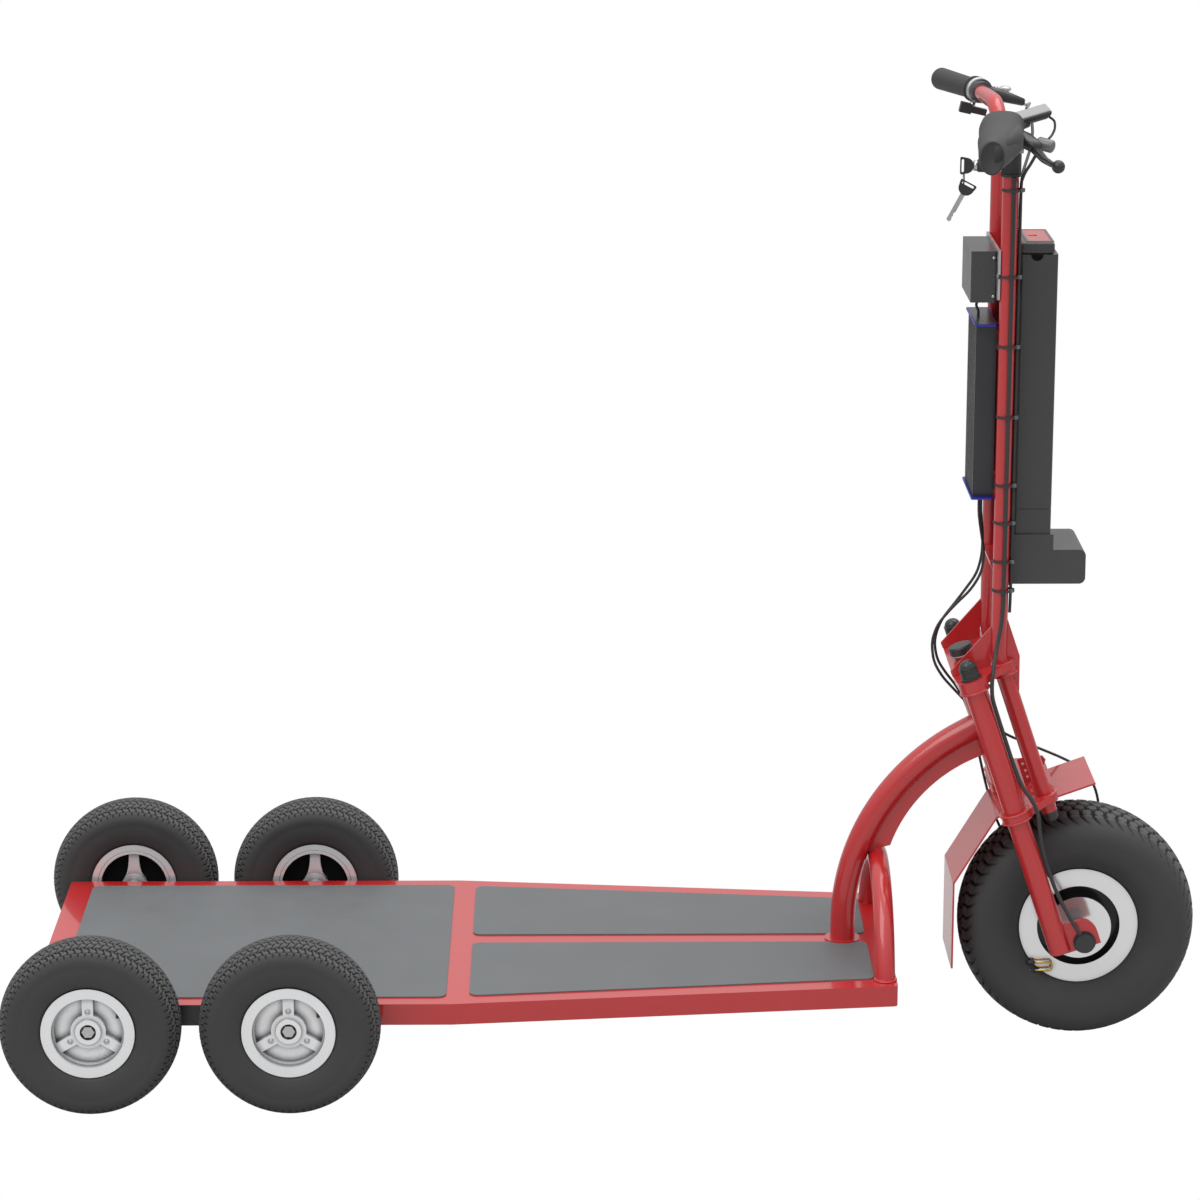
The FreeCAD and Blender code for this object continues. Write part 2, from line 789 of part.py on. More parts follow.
def in_world(shape):
    moved = shape.copy()
    moved.Placement = FORK.multiply(moved.Placement)
    return moved


def in_fork(shape):
    moved = shape.copy()
    moved.Placement = FORK.inverse().multiply(moved.Placement)
    return moved


def make_column(clearance):
    for name, side in SIDES:
        solid_node("column_tube_" + name, [column_bar(side, size("column_radius"))])
    plugs = []
    for name, side in SIDES:
        x, y, z = size("column_ahead"), side * size("column_offset"), size("column_low")
        start = Vector(x, y, z - size("seat_gap"))
        plugs.append(joined([
            rod(11.8, start - Vector(0, 0, 12), start),
            rod(9.5, start - Vector(0, 0, 15), start - Vector(0, 0, 12)),
        ]))
    solid_node("column_plugs", plugs, FORK)


def crown_discs(collar):
    offset = size("leg_offset")
    return [
        (-22, -82, 4),
        (0, -offset, collar),
        (size("column_ahead"), -size("column_offset"), collar - 3),
        (size("column_ahead"), size("column_offset"), collar - 3),
        (0, offset, collar),
        (-22, 82, 4),
    ]


def make_crowns(clearance):
    collar = size("collar_radius")
    offset = size("leg_offset")
    forward = size("column_ahead")
    gap = size("seat_gap")
    # Columns: label, low, high, height of the leg collar, whether the steering stem goes through.
    rows = (
        ("upper_crown", size("crown_low") + 3, size("crown_high"), 20),
        ("lower_crown", size("lower_crown_low"), size("lower_crown_high"), 14),
    )
    for label, low, high, collar_high in rows:
        pieces = [belt(crown_discs(collar), low, high)]
        for name, side in SIDES:
            top = Vector(0, side * offset, high)
            pieces.append(rod(collar, top - Vector(0, 0, collar_high), top))
            top = Vector(forward, side * size("column_offset"), high)
            pieces.append(rod(collar - 3, top - Vector(0, 0, collar_high), top))
        shape = joined(pieces)
        for name, side in SIDES:
            start = Vector(0, side * offset, 0)
            shape = shape.cut(rod(size("leg_radius") + gap, start, start + Vector(0, 0, high + 50)))
        shape = shape.cut(rod(size("stem_radius") + gap, Vector(0, 0, 0), Vector(0, 0, high + 50)))
        for bar in clearance:
            shape = shape.cut(in_fork(bar))
        shape = max(shape.Solids, key=lambda piece: piece.Volume)
        solid_node(label, [shape], FORK)


def make_stem():
    body = new_body("Stem")
    low = size("lower_crown_low")
    high = size("crown_high") + 10
    profile = ((0, low), (size("stem_radius"), low), (size("stem_radius"), high), (0, high))
    revolve(body, free_outline(body, "XZ_Plane", "StemProfile", profile))
    keep("stem", body, FORK)
    cap = new_body("StemCap")
    base = size("crown_high") + 10 + size("seat_gap")
    # A shallow lid with a turned edge, its skirt over the stem's top.
    lid = ((0, base), (17.2, base), (17.2, base - 3), (19.5, base - 1), (19.5, base + 9), (18, base + 11.5), (0, base + 11.5))
    revolve(cap, free_outline(cap, "XZ_Plane", "LidProfile", lid))
    keep("stem_cap", cap, FORK)


def make_column_gussets(clearance):
    # Behind each tube a web down to the upper crown, and before it one over the bend.
    rear = ((597.8, 700), (597.8, 610), (560, 596), (538.2, 617), (534.5, 626))
    front = ((621, 716), (643, 652), (643.6, 593), (639, 588), (625, 600), (615, 660))
    pieces = []
    floor = in_world(box((-60, 120), (-200, 200), (size("crown_low") - 20, size("crown_high") + size("seat_gap"))))
    for name, side in SIDES:
        y = side * size("column_offset")
        back = plate_xz(rear, y, 4).cut(floor)
        ahead = plate_xz(front, y, 4)
        for piece in (back, ahead):
            for bar in clearance:
                piece = piece.cut(bar)
            collar = rod(size("collar_radius") - 3 + size("seat_gap"),
                         from_fork(size("column_ahead"), y, size("crown_high") - 22),
                         from_fork(size("column_ahead"), y, size("crown_high") + size("seat_gap")))
            piece = piece.cut(collar)
            pieces.append(max(piece.Solids, key=lambda solid: solid.Volume))
    solid_node("column_gussets", pieces)


def make_column_straps(clearance):
    # Flat cross plates between the two tubes, which carry the battery rail and the boxes.
    pieces = []
    for height in (1270, 1140, 912, 790):
        plate = box((597.6, 622.4), (-size("column_offset"), size("column_offset")), (height - 2, height + 2))
        for bar in clearance:
            plate = plate.cut(bar)
        pieces.append(max(plate.Solids, key=lambda solid: solid.Volume))
    solid_node("column_straps", pieces)


def folded(points, thick):
    # Outline of a strip folded along (x, z) points, thickened to its lower left side.
    def shifted(distance):
        moved = []
        count = len(points)
        for index in range(count):
            normals = []
            for first, second in ((index - 1, index), (index, index + 1)):
                if first < 0 or second >= count:
                    continue
                dx = points[second][0] - points[first][0]
                dz = points[second][1] - points[first][1]
                length = math.hypot(dx, dz)
                normals.append((dz / length, -dx / length))
            nx = sum(normal[0] for normal in normals)
            nz = sum(normal[1] for normal in normals)
            length = math.hypot(nx, nz)
            nx, nz = nx / length, nz / length
            stretch = distance / (nx * normals[0][0] + nz * normals[0][1])
            moved.append((points[index][0] + nx * stretch, points[index][1] + nz * stretch))
        return moved

    return list(points) + list(reversed(shifted(thick)))


def make_fender(clearance):
    half = size("fender_half")
    spine = ((770.5, 438), (613.8, 381), (547.4, 269.9), (547.4, 126))
    strip = plate_xz(folded(spine, -size("fender_steel")), 0, 2 * half)
    solid_node("fender", [strip])
    # A perforated tab that stands on the lower crown between the legs.
    high = size("lower_crown_high") + size("seat_gap")
    tab = plate_xz(((30, high), (30, 470), (48, 468), (71, 463), (74, 455), (62, 440), (56, high)), 0, 3)
    for x, z in ((37, 460), (46, 460), (38, 448), (47, 447), (58, 455), (38, 437), (48, 437)):
        tab = tab.cut(rod(2.4, Vector(x, -5, z), Vector(x, 5, z)))
    solid_node("lamp_tab", [tab], FORK)


# Battery on the front of the column.
def make_battery():
    rail = doc.addObject("Part::Box", "BatteryRail")
    rail.setExpression("Length", "Sizes.battery_back - Sizes.column_x - Sizes.column_radius - 0.2")
    rail.setExpression("Width", "60")
    rail.setExpression("Height", "Sizes.battery_high - Sizes.base_low - 20")
    corner = Vector(size("column_x") + size("column_radius"), -30, size("base_low") + 10)
    keep("battery_rail", rail, Placement(corner, Rotation()))

    case = new_body("BatteryCase")
    block = pad(
        case,
        rectangle(case, "XY_Plane", "CaseOutline", "Sizes.battery_back", "Sizes.battery_front",
                  "-Sizes.battery_half", "Sizes.battery_half"),
        "Sizes.battery_high - Sizes.battery_low",
    )
    soften(case, block, "5", upright)
    # The seam 40 mm above the case's foot is a narrow groove cut by a frame.
    ring = rectangle(case, "XY_Plane", "SeamOuter", "Sizes.battery_back - 5", "Sizes.battery_front + 5",
                     "-Sizes.battery_half - 5", "Sizes.battery_half + 5")
    inner = (
        (size("battery_back") + 1, -size("battery_half") + 1),
        (size("battery_front") - 1, -size("battery_half") + 1),
        (size("battery_front") - 1, size("battery_half") - 1),
        (size("battery_back") + 1, size("battery_half") - 1),
    )
    for index, (x, y) in enumerate(inner):
        next_x, next_y = inner[(index + 1) % 4]
        ring.addGeometry(Part.LineSegment(Vector(x, y, 0), Vector(next_x, next_y, 0)), False)
    ring.AttachmentOffset = Placement(Vector(0, 0, 41), Rotation())
    pocket(case, ring, "2")
    keep("battery_case", case, Placement(Vector(0, 0, size("battery_low")), Rotation()))

    # Cap: its top slopes down to the front, with a finger notch behind the middle.
    back, front, half = size("battery_back"), size("battery_front") - 6, size("battery_half")
    foot = size("battery_high") + size("seat_gap")
    top = foot + size("battery_cap_high")
    lid = plate_xz(((back, foot), (front, foot), (front, foot + 7), (front - 12, top), (back, top)), 0, 2 * half - 2)
    for side in (-1, 1):
        notch = rod(9.3, Vector(657, side * half, foot), Vector(657, side * (half - 5), foot))
        lid = lid.cut(notch)
    panel = plate_xz(((back + 12, top - 1.5), (front - 14, top - 1.5), (front - 14, top + 5), (back + 12, top + 5)), 0, 96)
    solid_node("battery_cap", [lid.cut(panel)])
    window = plate_xz(((back + 12.4, top - 1.3), (front - 14.4, top - 1.3), (front - 14.4, top + 0.8),
                       (back + 12.4, top + 0.8)), 0, 95.2)
    solid_node("battery_window", [window])

    base = new_body("BatteryBase")
    outline = bound_outline(base, "XZ_Plane", "BaseOutline", (
        ("Sizes.battery_back", "Sizes.base_low"),
        ("Sizes.hump_front", "Sizes.base_low"),
        ("Sizes.hump_front", "Sizes.hump_high"),
        ("Sizes.battery_front + 4", "Sizes.hump_high"),
        ("Sizes.battery_front + 4", "Sizes.battery_low - Sizes.seat_gap"),
        ("Sizes.battery_back", "Sizes.battery_low - Sizes.seat_gap"),
    ))
    solid = pad(base, outline, "Sizes.base_half * 2", middle=True)

    def front_edge(edge):
        middle = edge.BoundBox.Center
        return edge.BoundBox.YLength > 100 and middle.x > size("battery_front") + 10

    soften(base, solid, "10", front_edge)
    keep("battery_base", base)


# Controller boxes behind the column.
def make_controllers():
    case = new_body("ControllerBox")
    block = pad(
        case,
        rectangle(case, "XY_Plane", "BoxOutline", "Sizes.box_back", "Sizes.box_front",
                  "-Sizes.box_half", "Sizes.box_half"),
        "Sizes.box_high - Sizes.box_low",
    )
    soften(case, block, "2.5", upright)
    keep("controller_box", case, Placement(Vector(0, 0, size("box_low")), Rotation()))

    low, high = size("box_low") + 8, size("box_high") + 4
    flange = box((size("box_front") + 0.2, 597.1), (-92, 92), (low, high))
    for height in (low + 14, high - 14):
        for y in (-82, 82):
            slot = belt([(height - 6, y, 2.6), (height + 6, y, 2.6)], 590, 600)
            slot.rotate(Vector(0, 0, 0), Vector(0, 1, 0), -90)
            slot.rotate(Vector(0, 0, 0), UP, 0)
            slot.translate(Vector(1190, 0, 0))
            flange = flange.cut(slot)
    # A notch lets the cable tie behind the flange pass.
    flange = flange.cut(box((590, 600), (-94, -78), (1252.6, 1259.4)))
    solid_node("controller_flange", [flange])

    sink = new_body("HeatsinkBox")
    core = pad(
        sink,
        rectangle(sink, "XY_Plane", "SinkOutline", "Sizes.sink_back", "Sizes.sink_front",
                  "-Sizes.sink_half", "Sizes.sink_half"),
        "Sizes.sink_high - Sizes.sink_low",
    )
    # Upright channels leave fins 3 mm thick on the side that faces the rider.
    first = -size("sink_half") + 5
    channel = rectangle(sink, "XY_Plane", "SinkChannel", "Sizes.sink_back - 1", "Sizes.sink_back + 11",
                        "%g" % first, "%g" % (first + 5.5))
    cut = pocket(sink, channel, "Sizes.sink_high - Sizes.sink_low", against=True)
    pattern = sink.newObject("PartDesign::LinearPattern", "SinkChannels")
    pattern.Originals = [cut]
    pattern.Direction = (next(axis for axis in sink.Origin.OriginFeatures if axis.Role == "Y_Axis"), [""])
    count = 13
    pattern.Length = 8.8 * (count - 1)
    pattern.Occurrences = count
    sink.Tip = pattern
    keep("heatsink_box", sink, Placement(Vector(0, 0, size("sink_low")), Rotation()))

    plates = []
    for height in (size("sink_low") - 3.2, size("sink_high") + 0.2):
        reach = size("sink_flange_half") - 4
        plate = belt([(566, -reach, 4), (593, -reach, 4), (593, reach, 4), (566, reach, 4)], 0, 3)
        plate.translate(Vector(0, 0, height))
        plates.append(plate)
    solid_node("heatsink_flanges", plates)


# Handlebar fittings.
def along_bar(side, fraction):
    # A point on the swept stretch of the bar, from its inner (0) to its outer end (1).
    start = Vector(size("bar_sweep_x"), side * size("bar_sweep_y"), size("bar_height"))
    end = Vector(size("bar_end_x"), side * size("bar_end_y"), size("bar_height"))
    return start + (end - start) * fraction


def oval(centre, heading, wide, high):
    # A four-arc oval square to the heading, wide across and high upright.
    across = heading.cross(UP).normalize()
    small = wide / 2 * 0.75
    edges = []
    top = centre + UP * (high / 2)
    bottom = centre - UP * (high / 2)
    right = centre + across * (wide / 2)
    left = centre - across * (wide / 2)
    quarter = math.sqrt(0.5)
    for first, second, flat, steep in (
        (right, top, across, UP),
        (top, left, across * -1, UP),
        (left, bottom, across * -1, UP * -1),
        (bottom, right, across, UP * -1),
    ):
        via = centre + flat * (wide / 2 * quarter) + steep * (high / 2 * quarter)
        edges.append(Part.Arc(first, via, second).toShape())
    return Part.Wire(edges)


def make_grips():
    # Right grip: a sleeve up the tube and over its bend, then a flared body that narrows to its end.
    points, bends = column_path(-1)
    sleeve_low = (size("column_x"), -size("column_offset"), 1412)
    shoulder, sweep = Vector(*points[2]), Vector(*points[3])
    sleeve_end = tuple(shoulder + (sweep - shoulder) * 0.45)
    sleeve = tube([sleeve_low, points[2], sleeve_end], size("sleeve_radius"), [size("column_bend")])
    heading = (Vector(*points[4]) - Vector(*points[3])).normalize()
    stations = (
        (Vector(608, -152, 1494), Vector(0, -1, 0), 50, 52),
        (Vector(596, -240, 1494), Vector(-0.15, -0.99, 0), 44, 50),
        (along_bar(-1, 1.03), heading, 31, 51),
    )
    wires = [oval(centre, direction, wide, high) for centre, direction, wide, high in stations]
    body = Part.makeLoft(wires, True, True)
    core = column_bar(-1, size("column_radius") + 0.1)
    shape = joined([sleeve, body]).cut(core)
    solid_node("grip_right", [max(shape.Solids, key=lambda solid: solid.Volume)])

    start, tip = along_bar(1, 0.1), along_bar(1, 1.03)
    along = (tip - start).normalize()
    end = tip - along * 4
    handle = joined([
        Part.makeCone(16.5, 18, (end - start).Length, start, along),
        rod(21, start - along * 6, start),
        Part.makeCone(18, 15.5, 4, end, along),
    ])
    shape = handle.cut(column_bar(1, size("column_radius") + 0.1))
    solid_node("grip_left", [max(shape.Solids, key=lambda solid: solid.Volume)])


def make_brake_levers():
    clamp_reach = 18
    levers = []
    # Right: a clamp behind the display, an arm forward and down, and a blade along the grip.
    bar = column_bar(-1, size("sleeve_radius") + 0.15)
    perch = rod(clamp_reach, Vector(609.5, -131, 1495), Vector(609.5, -146, 1495))
    arm = tube([(620, -138, 1490), (634, -143, 1474), (646, -152, 1463), (652, -200, 1460), (659, -262, 1459),
                (663, -300, 1459)], 5.5)
    pivot = rod(10, Vector(645, -148, 1456), Vector(645, -148, 1474))
    ball = Part.makeSphere(9.5, Vector(663, -302, 1459))
    shape = joined([perch, arm, pivot, ball]).cut(bar)
    levers.append(max(shape.Solids, key=lambda solid: solid.Volume))
    # Left: a clamp inside the grip, an arm forward with the cable's adjuster, and a blade outward.
    bar = column_bar(1, size("column_radius") + 0.15)
    perch = rod(clamp_reach, Vector(597.2, 240, 1495), Vector(594.9, 256, 1495))
    arm = tube([(608, 247, 1490), (630, 247, 1485), (652, 246, 1477), (664, 246, 1472)], 6)
    blade = tube([(640, 250, 1482), (645, 290, 1481), (648, 340, 1480), (645, 385, 1480)], 5)
    ball = Part.makeSphere(9.5, Vector(645, 388, 1480))
    shape = joined([perch, arm, blade, ball]).cut(bar)
    levers.append(max(shape.Solids, key=lambda solid: solid.Volume))
    solid_node("brake_levers", levers)


def make_throttle():
    bar = column_bar(1, size("column_radius") + 0.15)
    middle = along_bar(1, 0.0)
    along = (along_bar(1, 1) - along_bar(1, 0)).normalize()
    ring = rod(19.5, middle - along * 10, middle + along * 7)
    paddle = tube([(592, 268, 1479), (588, 274, 1462), (572, 284, 1456), (556, 296, 1458)], 6.5)
    shape = joined([ring, paddle]).cut(bar)
    solid_node("thumb_throttle", [max(shape.Solids, key=lambda solid: solid.Volume)])


def make_display():
    # A flat case that rises to the front, on an arm clamped to the right bend.
    case = belt([(-78, -28, 5), (-5, -28, 5), (-5, 28, 5), (-78, 28, 5)], -15, 0)
    case.rotate(Vector(0, 0, 0), Vector(0, 1, 0), -18.4)
    case.translate(Vector(670, -62, 1521))
    arm = rod(5, Vector(618, -62, 1492), Vector(614, -88, 1462))
    shape = joined([case, arm]).cut(NODES["grip_right"].Shape).cut(column_bar(-1, size("column_radius") + 0.3))
    solid_node("display", [max(shape.Solids, key=lambda solid: solid.Volume)])


def make_key_switch():
    y = -size("column_offset")
    collar = rod(10.5, Vector(582, y, 1427), Vector(594.6, y, 1427))
    barrel = rod(7.5, Vector(571, y, 1427), Vector(582, y, 1427))
    solid_node("key_switch", [joined([collar, barrel])])

    # Two keys on a ring: the first in the lock, the second hanging turned.
    def bow():
        head = belt([(2.5, -11, 2.5), (9, 0, 12), (2.5, 11, 2.5)], -1.8, 1.8)
        slot = belt([(4, -8.2, 1.9), (4, 8.2, 1.9)], -3, 3)
        head = head.cut(slot)
        return head

    flat = Rotation(Vector(1, 0, 0), 90)
    first = joined([bow(), rod(1.6, Vector(20, 0, 0), Vector(38.7, 0, 0))])
    first.Placement = Placement(Vector(532, y, 1427), flat)
    second = joined([bow(), box((20, 50), (-3.2, 3.2), (-1, 1))])
    second.Placement = Placement(Vector(546.5, y, 1401), Rotation(Vector(0, 1, 0), 118).multiply(flat))
    ring = Part.makeTorus(9.5, 0.7, Vector(538, y, 1408), Vector(1, 0, 0))
    solid_node("keys", [first, second, ring])


# Cables that the column and the fork hold all the way, and the ties that hold them.
def make_cables():
    motor = [(613.5, -102.3, 1411), (613.5, -102.3, 740), (612, -104, 712)]
    # On the fork the cable follows the right leg's front side and passes outside both crowns.
    on_fork = (
        (51, -114, 688), (38, -130, 666), (28, -140, 646), (21.5, -134, 622), (21, -130, 580), (21, -130, 500),
        (23, -132, 466), (32, -139, 442), (34, -140, 420), (27, -136, 386), (22, -131, 350), (22, -131, 290),
        (29, -138, 243), (38, -143.6, 206),
    )
    motor += [tuple(from_fork(*point)) for point in on_fork]
    solid_node("motor_cable", [tube(motor, 3.2)])
    brake = (
        [(640, -150, 1453.5), (634, -136, 1437), (628, -112, 1420), (625.6, -90, 1402), (625.6, -89.2, 1395),
         (625.6, -89.2, 750), (625.6, -84, 722)],
        [(668, 240, 1470), (672, 205, 1462), (668, 140, 1445), (655, 60, 1430), (640, -20, 1422),
         (629, -66, 1410), (625.6, -83.2, 1370), (625.6, -83.2, 790), (625.6, -78, 765)],
    )
    solid_node("brake_cables", [tube(route, 2.4) for route in brake])
    control = (
        [(583, -22, 900.6), (583, -22, 868), (590, 6, 830), (591, 20, 789), (584, 24, 757), (556, 26, 716),
         (528, 24, 680), (518, 24, 648), (523, 26, 616), (538, 36, 591), (556, 54, 566), (573, 70, 536),
         (588, 84, 495), (602, 90, 435), (614, 90, 384), (630, 92, 330), (652, 96, 284), (690, 104, 240),
         (728, 110, 212)],
        [(578, -38, 900.6), (578, -38, 872), (584, -22, 838), (592, -4, 800), (590, 4, 765), (574, 8, 735),
         (546, 12, 706), (522, 14, 676), (513, 14, 648), (517, 14, 614), (532, 20, 588), (552, 42, 562),
         (578, 66, 530), (606, 92, 500), (640, 106, 468), (688, 110, 446), (738, 98, 428), (774, 92, 410),
         (792, 90, 382), (800, 90, 350), (798, 94, 300), (780, 104, 250), (768, 110, 218)],
        [(573, 0, 1211.8), (573, 0, 1203), (570, 3, 1195), (574, 0, 1187), (574, 0, 1178.4)],
    )
    solid_node("control_cables", [tube(route, 2.2) for route in control])


def make_zip_ties():
    # Each tie is a thin belt round the right tube and the cables on it.
    x, y = size("column_x"), -size("column_offset")
    ties = []
    for height in (1390, 1256, 1147, 1036, 928, 868, 806, 759):
        inner = [(x, y, 12.9), (613.5, -102.2, 3.4), (625.6, -89.2, 2.6), (625.6, -83.2, 2.6)]
        outer = [(cx, cy, radius + 1.3) for cx, cy, radius in inner]
        strap = belt(outer, height - 2, height + 2).cut(belt(inner, height - 3, height + 3))
        buckle = box((628.4, 631.6), (-91, -86), (height - 2.6, height + 2.6)).cut(belt(inner, height - 3, height + 3))
        ties.append(joined([strap, buckle]))
    solid_node("zip_ties", ties)


make_deck_tray()
make_deck_rails()
make_mats()
make_arch()
make_arch_gusset()
make_hoop()
make_head_tube()
make_rear_axles()
make_rear_wheels()
make_front_motor()
make_front_tyre()
make_front_axle()
make_fork_legs()
make_leg_caps()
bars = column_clearance()
make_column(bars)
make_crowns(bars)
make_stem()
make_column_gussets(bars)
make_column_straps(bars)
make_fender(bars)
make_battery()
make_controllers()
make_grips()
make_brake_levers()
make_throttle()
make_display()
make_key_switch()
make_cables()
make_zip_ties()
doc.recompute()

for thing in doc.Objects:
    if "Invalid" in thing.State or "Error" in thing.State:
        raise RuntimeError("failed: %s %s" % (thing.Name, thing.State))
for label, thing in NODES.items():
    shape = thing.Shape
    if shape.isNull() or not shape.isValid() or not shape.Solids:
        raise RuntimeError("bad shape: " + label)
    shape.exportStep("parts/%s.step" % label)
    print("%-22s %2d solids %9.1f cm3" % (label, len(shape.Solids), shape.Volume / 1000))
whole = Part.makeCompound([thing.Shape for thing in NODES.values()]).BoundBox
print(len(NODES), "nodes,", whole)
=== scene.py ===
import json
import math

import bpy
import numpy as np
from mathutils import Euler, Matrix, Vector


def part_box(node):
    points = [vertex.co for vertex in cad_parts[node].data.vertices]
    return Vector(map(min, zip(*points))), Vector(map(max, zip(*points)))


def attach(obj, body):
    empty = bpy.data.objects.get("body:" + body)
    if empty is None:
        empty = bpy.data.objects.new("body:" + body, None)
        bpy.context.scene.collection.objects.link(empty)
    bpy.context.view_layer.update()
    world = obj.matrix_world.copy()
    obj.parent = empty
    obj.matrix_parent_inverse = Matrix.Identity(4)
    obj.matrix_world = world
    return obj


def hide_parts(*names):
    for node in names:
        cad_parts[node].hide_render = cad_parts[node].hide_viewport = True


# Looks of an electric cargo scooter, in metres: X forward, Y to the rider's left, Z up.
# The rigid solids come from the frame; this script adds finishes, tyre tread and small fittings.
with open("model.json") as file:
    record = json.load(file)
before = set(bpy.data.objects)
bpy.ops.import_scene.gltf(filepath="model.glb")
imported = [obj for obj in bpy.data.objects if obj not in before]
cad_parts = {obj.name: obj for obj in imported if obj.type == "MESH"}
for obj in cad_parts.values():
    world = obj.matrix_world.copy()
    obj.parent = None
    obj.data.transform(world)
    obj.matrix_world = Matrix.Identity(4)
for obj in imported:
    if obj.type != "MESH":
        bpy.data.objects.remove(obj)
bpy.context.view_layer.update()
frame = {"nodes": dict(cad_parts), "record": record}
slotOf = {row["node"]: row["material_slot"] for row in frame["record"]["subparts"]}


# Finishes
def fill(tree, node, inputs):
    # Each input, by name or number, is linked to another node's output or set to a plain value.
    for key, value in inputs.items():
        if isinstance(value, bpy.types.NodeSocket):
            tree.links.new(value, node.inputs[key])
        else:
            node.inputs[key].default_value = value


def addNode(tree, kind, inputs=None, **options):
    # A shader node with its options set and its inputs filled.
    node = tree.nodes.new("ShaderNode" + kind)
    for option, value in options.items():
        setattr(node, option, value)
    fill(tree, node, inputs or {})
    return node


def mathNode(tree, operation, *values):
    # The output of one sum on values or sockets.
    return addNode(tree, "Math", dict(enumerate(values)), operation=operation).outputs[0]


def mixColours(tree, first, second, factor, blend="MIX"):
    # The output of a mix of two colours; three plain numbers get an alpha of one.
    first, second = ((*colour, 1.0) if isinstance(colour, tuple) else colour for colour in (first, second))
    node = addNode(tree, "Mix", {0: factor, 6: first, 7: second}, data_type="RGBA", blend_type=blend)
    return node.outputs[2]


def startGroup(name, inputs, output, kind="NodeSocketFloat"):
    # A node group with number inputs, given with their defaults, and one output.
    group = bpy.data.node_groups.new(name, "ShaderNodeTree")
    for label, value in inputs.items():
        socket = group.interface.new_socket(name=label, in_out="INPUT", socket_type="NodeSocketFloat")
        socket.default_value = value
    group.interface.new_socket(name=output, in_out="OUTPUT", socket_type=kind)
    return group, group.nodes.new("NodeGroupInput").outputs, group.nodes.new("NodeGroupOutput")


def makeMottleGroup():
    # Clouds of noise over the object's own coordinates, as one value around a half.
    group, given, leave = startGroup("mottle", {"Scale": 8.0}, "Fac")
    place = addNode(group, "TexCoord").outputs["Object"]
    cloud = addNode(group, "TexNoise", {
        "Vector": place, "Scale": given["Scale"], "Detail": 5.0, "Roughness": 0.6,
    })
    fill(group, leave, {"Fac": cloud.outputs["Fac"]})
    return group


def makeGrainGroup():
    # Fine noise turned into a bumped normal; Height is the grain's depth in metres.
    defaults = {"Scale": 400.0, "Height": 0.0002, "Strength": 0.3}
    group, given, leave = startGroup("grain", defaults, "Normal", "NodeSocketVector")
    place = addNode(group, "TexCoord").outputs["Object"]
    grain = addNode(group, "TexNoise", {"Vector": place, "Scale": given["Scale"], "Detail": 2.0})
    bump = addNode(group, "Bump", {
        "Height": grain.outputs["Fac"], "Distance": given["Height"], "Strength": given["Strength"],
    })
    fill(group, leave, {"Normal": bump.outputs["Normal"]})
    return group


def makePaintedShadeGroup():
    # Painted shade from ambient occlusion: one in the open, falling toward nought where other surfaces are
    # near.
    group, given, leave = startGroup("painted_shade", {"Reach": 0.01}, "Fac")
    near = addNode(group, "AmbientOcclusion", {"Distance": given["Reach"]}, samples=12)
    fill(group, leave, {"Fac": mathNode(group, "POWER", near.outputs["AO"], 1.7)})
    return group


mottleGroup = makeMottleGroup()
grainGroup = makeGrainGroup()
paintedShadeGroup = makePaintedShadeGroup()


def shadeBy(material, factor, low, high=1.0):
    # Painted light and shade: multiply the material's base colour by a value that runs from low to high with
    # the factor.
    tree = material.node_tree
    shader = tree.nodes["Principled BSDF"]
    plain = shader.inputs["Base Color"].links[0].from_socket
    ramp = addNode(tree, "MapRange", {"Value": factor, "To Min": low, "To Max": high})
    shaded = mixColours(tree, plain, ramp.outputs["Result"], 1.0, "MULTIPLY")
    fill(tree, shader, {"Base Color": shaded})


def makeFinish(name, settings):
    # Principled surface: a colour mixed between two near tones by clouds, roughness by the same clouds,
    # and fine grain on the normal.
    material = bpy.data.materials.new(name)
    material.use_nodes = True
    tree = material.node_tree
    cloud = addNode(tree, "Group", {"Scale": settings["cloudScale"]}, node_tree=mottleGroup).outputs["Fac"]
    smooth, rough = settings["rough"]
    ramp = addNode(tree, "MapRange", {
        "Value": cloud, "From Min": 0.3, "From Max": 0.7, "To Min": smooth, "To Max": rough,
    })
    grain = addNode(tree, "Group", {
        "Scale": settings["grainScale"], "Height": settings["grainHigh"],
        "Strength": settings.get("grainStrength", 0.4),
    }, node_tree=grainGroup)
    fill(tree, tree.nodes["Principled BSDF"], {
        "Base Color": mixColours(tree, settings["dark"], settings["light"], cloud),
        "Roughness": ramp.outputs["Result"], "Normal": grain.outputs["Normal"],
        "Metallic": settings.get("metallic", 0.0), "Coat Weight": settings.get("coat", 0.0),
        "Coat Roughness": settings.get("coatRough", 0.1), "Specular IOR Level": settings.get("specular", 0.5),
    })
    # Painted shade: the base colour darkens toward the given low where ambient occlusion finds other surfaces
    # near.
    if "painted_shade" in settings:
        reach, low = settings["painted_shade"]
        painted_shade = addNode(tree, "Group", {"Reach": reach}, node_tree=paintedShadeGroup)
        shadeBy(material, painted_shade.outputs["Fac"], low)
    return material


